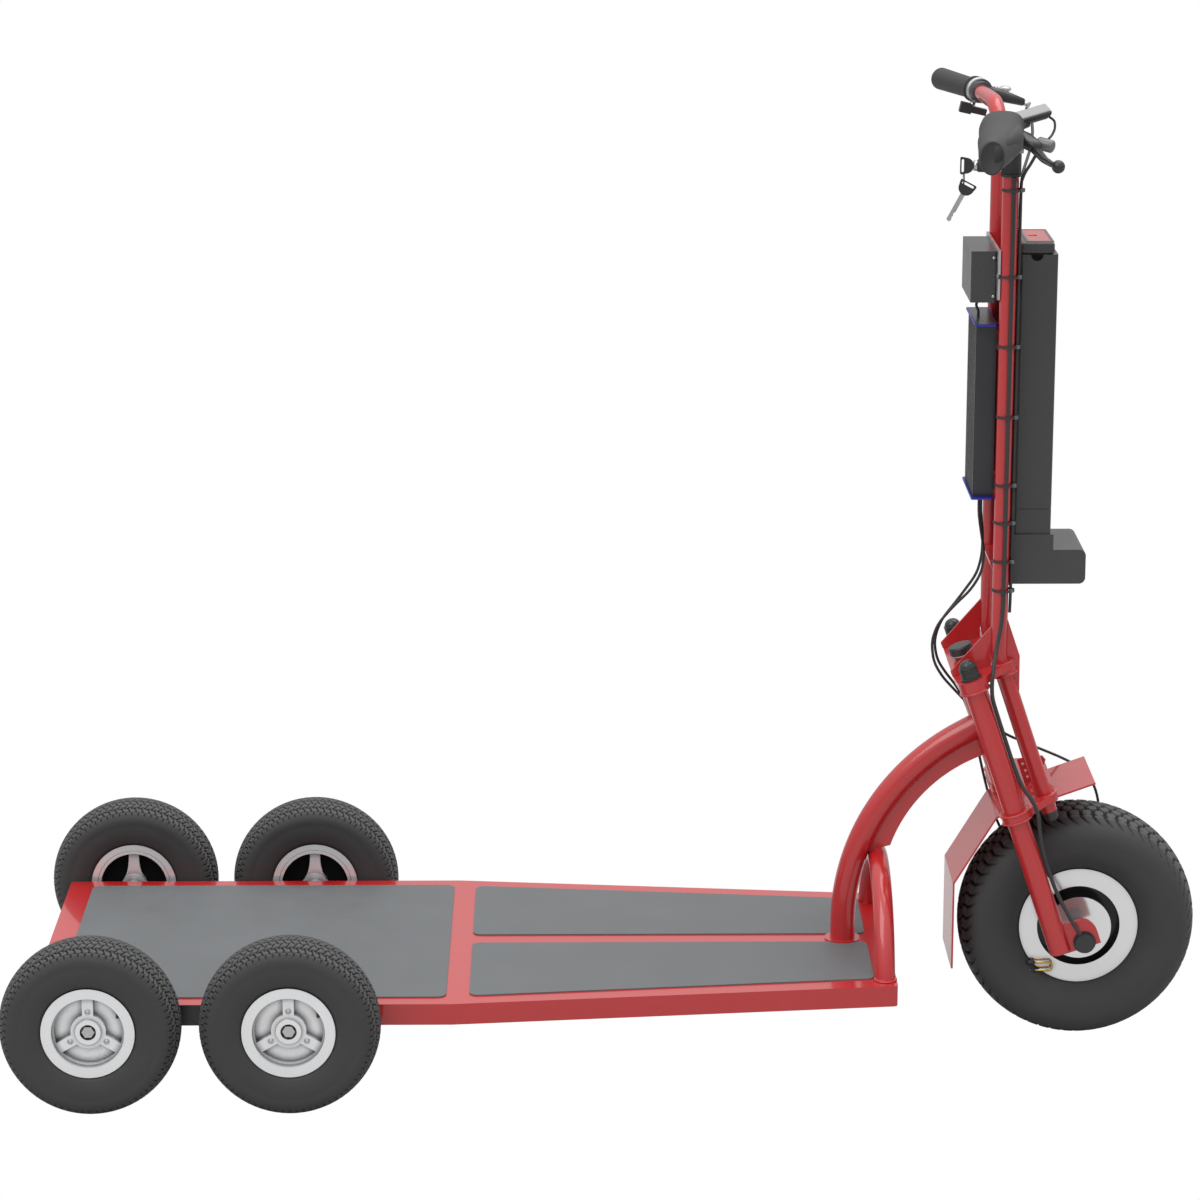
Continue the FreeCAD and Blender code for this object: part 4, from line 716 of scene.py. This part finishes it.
def addDisplay(settings):
    # A wedge-shaped case that rises to the front: the outline's corners, lifted by their distance ahead.
    corners = np.array(settings["corners"])
    middle = corners.mean(axis=0)
    rear, front = corners[:, 0].min(), corners[:, 0].max()
    slope = (settings["frontHigh"] - settings["rearHigh"]) / (front - rear)

    def layer(grow, drop):
        flat = middle + (corners - middle) * grow
        high = settings["rearHigh"] + np.clip(flat[:, 0] - rear, 0, front - rear) * slope - drop
        return np.column_stack([flat, high])

    plate, thick, case = settings["plate"], settings["thick"], settings["case"]
    glass = addPiece("displayGlass", *loft([layer(1.0, plate + 0.0004), layer(0.99, -0.0004)]),
                     "steering", "alloy_silver", smooth=False, look=displayGlass)
    softenEdges(glass, 0.0005)
    shell = loft([layer(settings["belly"], thick), layer(case * 0.99, thick * 0.55), layer(case, plate)])
    body = addPiece("displayCase", *shell, "steering", "black_plastic", smooth=False)
    softenEdges(body, 0.0022, 3)
    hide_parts("display")
    points, faces = joinParts([
        sweep(smoothPath(settings["wire"], [0.004, 0.008, 0.008]), settings["wireRadius"]),
        sweep(smoothPath(settings["arm"], [0.006]), settings["armRadius"]),
    ])
    addPiece("displayWire", points, faces, "steering", "cable_black")


addDisplay(displaySettings)

rightLever = {
    # the perch: x, y, z, wide, high, power of its ovals, from the grip outward
    "perch": ((0.612, -0.112, 1.478, 0.022, 0.020, 2.6), (0.622, -0.122, 1.474, 0.030, 0.019, 3.0),
              (0.633, -0.140, 1.4675, 0.027, 0.017, 3.2), (0.6385, -0.154, 1.4635, 0.018, 0.014, 3.0)),
    "blade": ((0.638, -0.148, 1.4620), (0.642, -0.170, 1.4575), (0.646, -0.210, 1.4540),
              (0.651, -0.255, 1.4545), (0.655, -0.292, 1.4570)),
    "bladeWide": (0.016, 0.014, 0.012, 0.009, 0.008), "bladeHigh": (0.013, 0.012, 0.010, 0.009, 0.008),
    "ball": (0.6558, -0.300, 1.4575), "ballRadius": 0.0100,
    "housing": ((0.6470, -0.126, 1.4670), (0.6650, -0.134, 1.4630)), "housingRadius": 0.0100,
    "adjuster": ((0.6195, -0.139, 1.4670), (0.6185, -0.140, 1.4540)),
    "barrel": ((0.6405, -0.151, 1.4640), (0.6400, -0.150, 1.4530)),
    "adjusterRadius": 0.0040, "barrelRadius": 0.0036,
    "hexBolt": ((0.6165, -0.104, 1.4888), (0.6165, -0.1115, 1.4886)), "hexBoltRadius": 0.0056,
    "smallBolt": ((0.6250, -0.112, 1.4800), (0.6262, -0.1215, 1.4792)), "smallBoltRadius": 0.0040,
}


def taperedBar(path, wides, highs, count=16):
    # Ovals in planes square to Y, one for each point of the path.
    stations = [(*place, wide, high, 2.4) for place, wide, high in zip(path, wides, highs)]
    return loft([ovalRing(station, count) for station in stations])


def ballPart(centre, radii, count=20, rows=10):
    # Ellipsoid: circles of latitude, closed by small faces.
    turn = np.arange(count) * 2 * np.pi / count
    rings = []
    for tilt in np.linspace(-np.pi / 2 + 0.12, np.pi / 2 - 0.12, rows):
        flat = math.cos(tilt)
        rings.append(np.stack([
            centre[0] + radii[0] * flat * np.cos(turn), centre[1] + radii[1] * flat * np.sin(turn),
            np.full(count, centre[2] + radii[2] * math.sin(tilt)),
        ], axis=1))
    return loft(rings)


def capsule(start, end, radius, count=24):
    # A short round bar with domed ends.
    start, end = np.asarray(start, float), np.asarray(end, float)
    long = np.linalg.norm(end - start)
    dome = [(radius * math.cos(t), -radius * 0.5 * math.sin(t)) for t in np.radians((80, 60, 40, 20))]
    profile = dome + [(radius, 0.0), (radius, long)] + [(r, long - h) for r, h in reversed(dome)]
    return lathe(profile, start, end - start, count)


def rodBetween(ends, radius, count=16):
    # A straight rod between two points; six sides make a bolt's head.
    return sweep(np.array(ends), radius, count)


def edgedRing(radius, half, middle, axis):
    # A short drum whose two edges are broken by a millimetre.
    edge = 0.001
    return lathe(((radius - edge, -half), (radius, edge - half), (radius, half - edge), (radius - edge, half)),
                 middle, axis, 32)


def addRightLever(settings):
    # A perch grows out of the grip; the blade tapers to its ball. Grey housing, bolts and adjusters are metal.
    perch = loft([ovalRing(station, 24) for station in settings["perch"]])
    blade = taperedBar(settings["blade"], settings["bladeWide"], settings["bladeHigh"])
    ball = ballPart(settings["ball"], [settings["ballRadius"]] * 3)
    lever = addPiece("rightLever", *joinParts([perch, blade, ball]), "steering", "black_plastic")
    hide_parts("brake_levers")
    housing = capsule(*settings["housing"], settings["housingRadius"])
    addPiece("leverHousing", *housing, "steering", "fin_alloy", look=paleGrip)
    sides = {"adjuster": 16, "barrel": 16, "hexBolt": 6, "smallBolt": 6}
    points, faces = joinParts([rodBetween(settings[rod], settings[rod + "Radius"], count)
                               for rod, count in sides.items()])
    addPiece("leverBolts", points, faces, "steering", "zinc_steel", smooth=False)


leftLever = {
    "clamp": (0.5965, 0.248, 1.495), "clampRadius": 0.0175, "clampHalf": 0.008, "clampAxis": (-0.33, 0.944, 0),
    "body": ((0.602, 0.247, 1.4945), (0.6227, 0.247, 1.4905), (0.6425, 0.247, 1.4850),
             (0.6640, 0.2465, 1.4785)),
    "bodyRadii": (0.0125, 0.0105, 0.0085, 0.0060),
    "end": ((0.664, 0.2465, 1.4785), (0.674, 0.246, 1.4738)), "endRadius": 0.0046,
    "bolt": ((0.6190, 0.250, 1.4960), (0.6200, 0.250, 1.5040)), "boltRadius": 0.0035,
    "blade": ((0.634, 0.252, 1.488), (0.640, 0.290, 1.484), (0.645, 0.340, 1.482), (0.647, 0.372, 1.482)),
    "bladeWide": (0.014, 0.011, 0.010, 0.012), "bladeHigh": (0.010, 0.008, 0.006, 0.006),
    "ball": (0.648, 0.381, 1.482), "ballRadii": (0.0105, 0.0105, 0.0055),
}


def taperedRod(path, radii, count=20):
    # Circles square to the path with a radius of their own at each point.
    path = np.asarray(path, float)
    heading = np.gradient(path, axis=0)
    heading /= np.linalg.norm(heading, axis=1)[:, None]
    turn = np.arange(count) * 2 * np.pi / count
    rings = []
    for centre, ahead, radius in zip(path, heading, radii):
        side = np.cross(ahead, (0.0, 1.0, 0.0))
        side /= np.linalg.norm(side)
        other = np.cross(ahead, side)
        rings.append(centre + radius * (np.cos(turn)[:, None] * side + np.sin(turn)[:, None] * other))
    return loft(rings)


def addLeftLever(settings):
    # A clamp on the bar, a body that runs forward and a thin blade; the tip, bolt and end are metal.
    clamp = edgedRing(settings["clampRadius"], settings["clampHalf"], np.array(settings["clamp"]),
                      settings["clampAxis"])
    body = taperedRod(settings["body"], settings["bodyRadii"])
    blade = taperedBar(settings["blade"], settings["bladeWide"], settings["bladeHigh"])
    addPiece("leftLever", *joinParts([clamp, body, blade]), "steering", "black_plastic")
    tip = ballPart(settings["ball"], settings["ballRadii"])
    points, faces = joinParts([rodBetween(settings["end"], settings["endRadius"]),
                               rodBetween(settings["bolt"], settings["boltRadius"]), tip])
    addPiece("leftLeverMetal", points, faces, "steering", "zinc_steel")


addRightLever(rightLever)
addLeftLever(leftLever)

throttleSettings = {
    "axis": (-0.31, 0.951, 0.0), "middle": (0.5925, 0.2725, 1.495),
    # place along the bar, radius and width of the rings: black, silver, black
    "rings": ((-0.013, 0.0195, 0.007), (-0.003, 0.0205, 0.006), (0.006, 0.0200, 0.008)),
    "stalk": ((0.586, 0.270, 1.479), (0.584, 0.268, 1.468), (0.584, 0.268, 1.464)), "stalkRadius": 0.0042,
    # middle, size and turns of the paddle's two blocks
    "paddle": (((0.5900, 0.268, 1.4630), (0.034, 0.014, 0.0105), (0.0, 13.0, 0.0)),
               ((0.5735, 0.268, 1.4672), (0.019, 0.016, 0.0165), (0.0, 13.0, 0.0))),
}


def addThrottle(settings):
    # Three rings on the bar; the middle one is silver and carries the stalk of the stepped paddle.
    axis = np.array(settings["axis"])
    rings = [edgedRing(radius, wide / 2, np.array(settings["middle"]) + axis * along, axis)
             for along, radius, wide in settings["rings"]]
    blocks = [block(centre, size, turns) for centre, size, turns in settings["paddle"]]
    points, faces = joinParts([rings[0], rings[2]] + blocks)
    black = addPiece("throttleBlack", points, faces, "steering", "black_plastic", smooth=False)
    softenEdges(black, 0.0015)
    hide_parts("thumb_throttle")
    points, faces = joinParts([rings[1], sweep(settings["stalk"], settings["stalkRadius"])])
    addPiece("throttleSilver", points, faces, "steering", "zinc_steel")


addThrottle(throttleSettings)
print("handlebar done")


keyLock = {
    "height": 1.427, "side": -0.086,
    # start and end along X, radius, finish
    "discs": ((0.5526, 0.5592, 0.0082, "zinc_steel"), (0.5590, 0.5720, 0.0100, "black_plastic")),
    "blade": ((0.0, 0.0035), (0.026, 0.0035), (0.028, 0.0018), (0.031, 0.0030), (0.034, 0.0016),
              (0.037, 0.0030), (0.040, 0.0020), (0.043, 0.0034), (0.046, 0.0030), (0.048, 0.0)),
    "back": ((0.046, -0.0035), (0.0, -0.0035)),
    "bladeFoot": (0.5375, -0.086, 1.3842), "bladeTurn": 118.0, "bladeHalf": 0.0013,
}


def addKeyLock(settings):
    # The lock's own collar in two discs, and a toothed blade over the hanging key's plain one.
    for start, end, radius, slot in settings["discs"]:
        ends = [(x, settings["side"], settings["height"]) for x in (start, end)]
        addPiece("keyDisc_" + slot, *rodBetween(ends, radius, 32), "steering", slot)
    loop = np.array(settings["blade"] + settings["back"])
    turn = math.radians(settings["bladeTurn"])
    x = loop[:, 0] * math.cos(turn) + loop[:, 1] * math.sin(turn)
    z = -loop[:, 0] * math.sin(turn) + loop[:, 1] * math.cos(turn)
    foot = np.array(settings["bladeFoot"])
    rings = [foot + np.column_stack([x, np.full(len(x), side), z])
             for side in (-settings["bladeHalf"], settings["bladeHalf"])]
    addPiece("keyBlade", *loft(rings), "steering", "zinc_steel", smooth=False)


addKeyLock(keyLock)

batteryTop = {
    "x": (0.6312, 0.6832), "half": 0.0645, "z": (1.2866, 1.3040), "corner": 0.0035,
    # how far out and how high each ring of the bezel lies, and how deep all of them are sunk
    "bezel": ((0.0045, 0.0), (0.0035, 0.0016), (0.0, 0.0016), (0.0, 0.0)), "sink": 0.0002,
    "panel": (0.6440, 0.6790, 0.0520), "panelGap": 0.0004, "panelRise": 0.0002, "panelHigh": 0.0014,
    "rocker": (0.6480, 0.6620, 0.0180), "rockerRise": 0.0010, "rockerHigh": 0.0016, "rockerTilt": -2.0,
    "notch": (0.6560, 1.2858), "notchRadius": 0.0095, "side": 0.0664, "notchDeep": (0.0020, -0.0001),
}


def addBatteryTop(settings):
    # A square lid with a raised bezel, a red panel with its rocker, and painted shade in the finger notches of
    # the case below: thin near-black half-discs.
    (rear, front), half, (low, high) = settings["x"], settings["half"], settings["z"]
    lid = block(((rear + front) / 2, 0, (low + high) / 2), (front - rear, 2 * half, high - low))
    lidPiece = addPiece("batteryLid", *lid, "steering", "dark_case", smooth=False)
    softenEdges(lidPiece, settings["corner"], 4)
    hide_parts("battery_cap")
    left, right, reach = settings["panel"]
    points = []
    for grow, up in settings["bezel"]:
        for x, y in ((left - grow, -reach - grow), (right + grow, -reach - grow),
                     (right + grow, reach + grow), (left - grow, reach + grow)):
            points.append((x, y, high + up - settings["sink"]))
    faces = [(ring * 4 + i, ring * 4 + (i + 1) % 4, (ring + 1) % 4 * 4 + (i + 1) % 4, (ring + 1) % 4 * 4 + i)
             for ring in range(4) for i in range(4)]
    addPiece("batteryBezel", points, faces, "steering", "dark_case", smooth=False, look=paleGrip)
    gap = settings["panelGap"]
    panel = block(((left + right) / 2, 0, high + settings["panelRise"]),
                  (right - left - gap, 2 * reach - gap, settings["panelHigh"]))
    start, end, across = settings["rocker"]
    rocker = block(((start + end) / 2, across, high + settings["rockerRise"]),
                   (end - start, 2 * across, settings["rockerHigh"]), (0.0, settings["rockerTilt"], 0.0))
    window = addPiece("batteryPanel", *joinParts([panel, rocker]), "steering", "red_window", smooth=False)
    softenEdges(window, 0.0003)
    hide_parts("battery_window")
    # Painted shade: near-black half-discs on both sides of the case, where the finger notches lie in shade.
    angles = np.linspace(0, np.pi, 17)
    x = settings["notch"][0] + settings["notchRadius"] * np.cos(angles)
    z = settings["notch"][1] - settings["notchRadius"] * np.sin(angles)
    notchShades = [loft([np.column_stack([x, np.full(len(x), side * (settings["side"] - away)), z])
                     for away in settings["notchDeep"]]) for side in (-1, 1)]
    addPiece("batteryNotchShade", *joinParts(notchShades), "steering", "cable_black", smooth=False, look=paintedShadeFill)


addBatteryTop(batteryTop)

boxTrims = {
    "finTop": (0.5645, 0.5945, 0.0712, 1.1782), "finTopHigh": 0.0004,
    "tieHeights": (1.390, 1.256, 1.147, 1.036, 0.928, 0.868, 0.806, 0.759),
    "tieMiddle": (0.6262, -0.0946), "tieSize": (0.0070, 0.0034, 0.0056),
    "screwX": 0.5885, "screwY": -0.0716, "screwZ": (1.222, 1.282),
    "screw": ((0.0024, 0.0), (0.0024, 0.0010), (0.0014, 0.0016)),
}


def addBoxTrims(settings):
    # A dark cover on the upper blue plate leaves its rim bare; every cable tie has a pale head.
    rear, front, half, top = settings["finTop"]
    cover = block(((rear + front) / 2, 0, top), (front - rear, 2 * half, settings["finTopHigh"]))
    addPiece("finTop", *cover, "steering", "dark_case", smooth=False)
    x, y = settings["tieMiddle"]
    blocks = [block((x, y, height), settings["tieSize"]) for height in settings["tieHeights"]]
    heads = addPiece("tieHeads", *joinParts(blocks), "steering", "cable_black", smooth=False, look=paleGrip)
    softenEdges(heads, 0.0005)
    screws = [lathe(settings["screw"], (settings["screwX"], settings["screwY"], z), (0, -1, 0), 16)
              for z in settings["screwZ"]]
    addPiece("boxScrews", *joinParts(screws), "steering", "zinc_steel")


addBoxTrims(boxTrims)

forkFrame = {"ground": 0.7746, "rake": 18.65}


def forkPoint(x, y, z):
    # Along the fork: z runs up the steering axis from the ground, x forward and square to it.
    rake = math.radians(forkFrame["rake"])
    return np.array([forkFrame["ground"] + x * math.cos(rake) - z * math.sin(rake), y,
                     x * math.sin(rake) + z * math.cos(rake)])


forkRings = {
    "leg": 0.126, "column": (0.053, 0.086), "legRadius": 0.0250, "columnRadius": 0.0215, "thick": 0.0030,
    "legHeights": (0.4275, 0.4145, 0.6390), "columnHeights": (0.4275, 0.6575, 0.6385),
    "caps": (0.0050, 0.0085, 0.0120, 0.0155, 0.0190), "capFoot": 0.6603, "capRadius": 0.0148,
    "stemRing": (0.0186, 0.6655, 0.0030),
}


def roundRing(radius, thick, centre, axis, count=48):
    # A ring with a rounded outer edge; it starts just inside the surface it lies on.
    inner = radius - thick
    return lathe(((inner, 0.0), (radius - thick * 0.25, 0.0), (radius, thick * 0.3), (radius, thick * 0.7),
                  (radius - thick * 0.25, thick), (inner, thick)), centre, axis, count)


def addForkRings(settings):
    # Rings on the legs and the column tubes at the crowns, ribs on the leg caps and one ring on the stem.
    up = forkPoint(0, 0, 1) - forkPoint(0, 0, 0)
    thick = settings["thick"]
    red, ribs = [], []
    for side in (-1, 1):
        for height in settings["legHeights"]:
            foot = forkPoint(0, side * settings["leg"], height)
            red.append(roundRing(settings["legRadius"], thick, foot, up))
        ahead, across = settings["column"]
        for height in settings["columnHeights"]:
            foot = forkPoint(ahead, side * across, height)
            red.append(roundRing(settings["columnRadius"], thick, foot, up))
        for along in settings["caps"]:
            foot = forkPoint(0, side * settings["leg"], settings["capFoot"] + along)
            ribs.append(roundRing(settings["capRadius"], 0.0016, foot, up))
    addPiece("crownRings", *joinParts(red), "steering", "red_paint")
    addPiece("capRibs", *joinParts(ribs), "steering", "black_plastic")
    radius, height, thick = settings["stemRing"]
    ring = roundRing(radius, thick, forkPoint(0, 0, height), up)
    addPiece("stemRing", *ring, "steering", "zinc_steel")


addForkRings(forkRings)

frameTrims = {
    "hoopFeet": ((0.432, -0.196, 0.1519), (0.432, 0.196, 0.1519)), "hoopRadius": 0.0185, "thick": 0.0026,
    "padX": (-0.804, -0.497), "padY": 0.3003, "padThick": 0.0004, "padZ": (0.1190, 0.1512),
}


def addFrameTrims(settings):
    # Weld rings round the hoop's feet, and a dark strip on the deck's side between the rear wheels.
    rings = [roundRing(settings["hoopRadius"], settings["thick"], np.array(foot), (0, 0, 1))
             for foot in settings["hoopFeet"]]
    addPiece("hoopRings", *joinParts(rings), "frame", "red_paint")
    (rear, front), (low, high) = settings["padX"], settings["padZ"]
    strips = [block(((rear + front) / 2, side * settings["padY"], (low + high) / 2),
                    (front - rear, settings["padThick"], high - low)) for side in (-1, 1)]
    addPiece("deckStrips", *joinParts(strips), "frame", "black_plastic", smooth=False)


addFrameTrims(frameTrims)
print("steering details done")


# Inner faces of the rear rims
innerFace = {
    "flange": 0.040, "web": 0.031, "floor": 0.019, "ring": 0.0560, "seat": 0.0615, "bore": 0.0115,
    "spokeHalf": 0.0085, "spokeFoot": 0.016, "spokeThick": 0.006, "steps": 6, "turns": (90.0, 210.0, 330.0),
}


def addInnerFace(tag, settings):
    # The inner side repeats the outer one: a ring inside the flange and three spokes that widen to the hub.
    centre = middleOf("rear_rim_" + tag)
    axis = np.array([0.0, 1.0 if tag.endswith("R") else -1.0, 0.0])
    web, floor, ring = settings["web"], settings["floor"], settings["ring"]
    seat, face = settings["seat"], settings["flange"] - 0.0003
    ringPart = lathe(((ring, floor), (seat, floor), (seat, face), (ring, face), (ring, floor + 0.0001)),
                     centre, axis, 64)
    parts = [(ringPart[0], ringPart[1][:-2])]
    for turn in settings["turns"]:
        radial = radialAt(turn)
        side = np.cross(axis, radial)
        rings = []
        for share in np.linspace(0, 1, settings["steps"]):
            reach = settings["bore"] + share * (ring + 0.001 - settings["bore"])
            half = settings["spokeHalf"] + (settings["spokeFoot"] - settings["spokeHalf"]) * (1 - share) ** 3
            place = centre + radial * reach
            back = place + axis * (web - settings["spokeThick"])
            face = place + axis * web
            aside = side * half
            rings.append(np.array([back - aside, back + aside, face + aside, face - aside]))
        parts.append(loft(rings))
    points, faces = joinParts(parts)
    piece = addPiece("rimInner" + tag, points, faces, "rear_wheel_" + tag, "alloy_silver", smooth=False)
    softenEdges(piece, 0.0006)
    # Painted shade: a near-black disc behind the spokes, where the rim's inside lies in shade.
    under = floor - 0.003
    dark = lathe(((settings["bore"], under), (ring - 0.0002, under), (ring - 0.0002, floor),
                  (settings["bore"], floor)), centre, axis, 64)
    addPiece("rimShade" + tag, *dark, "rear_wheel_" + tag, "black_plastic", look=paintedShadeFill, smooth=False)


for tag in ("1R", "1L", "2R", "2L"):
    addInnerFace(tag, innerFace)
print("inner rim faces done")


# Web under the arch
archWeb = {
    "footX": 0.377, "footZ": 0.184, "radius": 0.360, "tube": 0.0202, "lowTurn": 20.5, "highTurn": 61.0,
    "inner": ((0.452, 0.312), (0.512, 0.408), (0.612, 0.468)), "tail": 0.036, "half": 0.003, "steps": 40,
}


def underArch(settings):
    # The arch's lower side: an arc about the bend's centre, then a short straight along its end.
    centre = np.array([settings["footX"] + settings["radius"], settings["footZ"]])
    turn = np.radians(np.linspace(settings["lowTurn"], settings["highTurn"], settings["steps"]))
    inside = settings["radius"] - settings["tube"]
    arc = np.stack([centre[0] - inside * np.cos(turn), centre[1] + inside * np.sin(turn)], axis=1)
    ahead = np.array([np.sin(turn[-1]), np.cos(turn[-1])])
    return np.concatenate([arc, [arc[-1] + ahead * settings["tail"]]])


def addArchWeb(settings):
    # A flat plate between the arch's lower side and a curved free edge.
    upper = underArch(settings)
    start, via, end = settings["inner"]
    lower = np.concatenate([throughArc(start, via, end, settings["steps"]), [end]])
    points, count = [], len(upper)
    for y in (-settings["half"], settings["half"]):
        for x, z in np.concatenate([upper, lower]):
            points.append((x, y, z))
    side = 2 * count
    faces = []
    for index in range(count - 1):
        a, b, c, d = index, index + 1, count + index + 1, count + index
        faces.append((a, b, c, d))
        faces.append((d + side, c + side, b + side, a + side))
        faces.append((b, a, a + side, b + side))
        faces.append((d, c, c + side, d + side))
    last = count - 1
    faces.append((0, count, count + side, side))
    faces.append((last + side, last + count + side, last + count, last))
    web = addPiece("archWeb", points, faces, "frame", "red_paint", smooth=False)
    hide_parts("arch_gusset")


addArchWeb(archWeb)
print("web under the arch done")


# Floor, light and camera
stageSettings = {
    "floorSize": 30.0, "floorGrey": 0.5, "floorRough": 0.9,
    "skyStrength": 1.0, "darkBelow": -0.35, "whiteAbove": 0.75,
    "zenith": (1.0, 1.0, 1.0), "nadir": (0.16, 0.16, 0.165), "lampAim": (0.2, 0.0, 0.6),
    "lamps": (
        # position, size, watts
        ((-2.5, -3.0, 6.0), 4.5, 150.0),
        ((1.5, 1.0, 6.0), 4.0, 120.0),
    ),
}


def makeFloor(settings):
    # Grey and dull for the light, plain white where the camera looks.
    half = settings["floorSize"] / 2
    points = [(-half, -half, 0.0), (half, -half, 0.0), (half, half, 0.0), (-half, half, 0.0)]
    mesh = bpy.data.meshes.new("floor")
    mesh.from_pydata(points, [], [(0, 1, 2, 3)])
    floor = bpy.data.objects.new("floor", mesh)
    bpy.context.scene.collection.objects.link(floor)
    material = bpy.data.materials.new("floor")
    material.use_nodes = True
    tree = material.node_tree
    shader = tree.nodes["Principled BSDF"]
    grey = settings["floorGrey"]
    fill(tree, shader, {"Base Color": (grey, grey, grey, 1.0), "Roughness": settings["floorRough"]})
    path = addNode(tree, "LightPath")
    glow = addNode(tree, "Emission", {"Strength": 1.0})
    mix = addNode(tree, "MixShader", {
        0: path.outputs["Is Camera Ray"], 1: shader.outputs["BSDF"], 2: glow.outputs["Emission"],
    })
    fill(tree, tree.nodes["Material Output"], {"Surface": mix.outputs["Shader"]})
    mesh.materials.append(material)


def makeSky(settings):
    # White where the camera looks; for the light, a dome that is white overhead and greyer below.
    world = bpy.data.worlds.new("sky")
    bpy.context.scene.world = world
    world.use_nodes = True
    tree = world.node_tree
    place = addNode(tree, "TexCoord")
    split = addNode(tree, "SeparateXYZ", {"Vector": place.outputs["Generated"]})
    ramp = addNode(tree, "MapRange", {
        "Value": split.outputs["Z"], "From Min": settings["darkBelow"], "From Max": settings["whiteAbove"],
    })
    dome = mixColours(tree, settings["nadir"], settings["zenith"], ramp.outputs["Result"])
    path = addNode(tree, "LightPath")
    plain = mixColours(tree, dome, (1.0, 1.0, 1.0), path.outputs["Is Camera Ray"])
    fill(tree, tree.nodes["Background"], {"Color": plain, "Strength": settings["skyStrength"]})


def makeLamps(settings):
    # Wide square lamps, all turned toward one point on the scooter.
    aim = Vector(settings["lampAim"])
    for index, (place, wide, watts) in enumerate(settings["lamps"]):
        data = bpy.data.lights.new("lamp%d" % index, "AREA")
        data.size = wide
        data.energy = watts
        lamp = bpy.data.objects.new("lamp%d" % index, data)
        lamp.location = place
        lamp.rotation_euler = (aim - Vector(place)).to_track_quat("-Z", "Y").to_euler()
        bpy.context.scene.collection.objects.link(lamp)


makeFloor(stageSettings)
makeSky(stageSettings)
makeLamps(stageSettings)

# The camera was fitted to the photograph by the wheels, the deck's corners and the column.
cameraSettings = {"place": (-0.0751, -6.2681, 2.3637), "pitch": 14.684, "yaw": -0.536, "lens": 122.42}
cameraData = bpy.data.cameras.new("camera")
cameraData.lens = cameraSettings["lens"]
cameraData.sensor_width = 36.0
camera = bpy.data.objects.new("camera", cameraData)
camera.location = cameraSettings["place"]
tilt = math.radians(90 - cameraSettings["pitch"])
camera.rotation_euler = Euler((tilt, 0.0, math.radians(cameraSettings["yaw"])))
bpy.context.scene.collection.objects.link(camera)
bpy.context.scene.camera = camera
bpy.context.scene.view_settings.view_transform = "Standard"
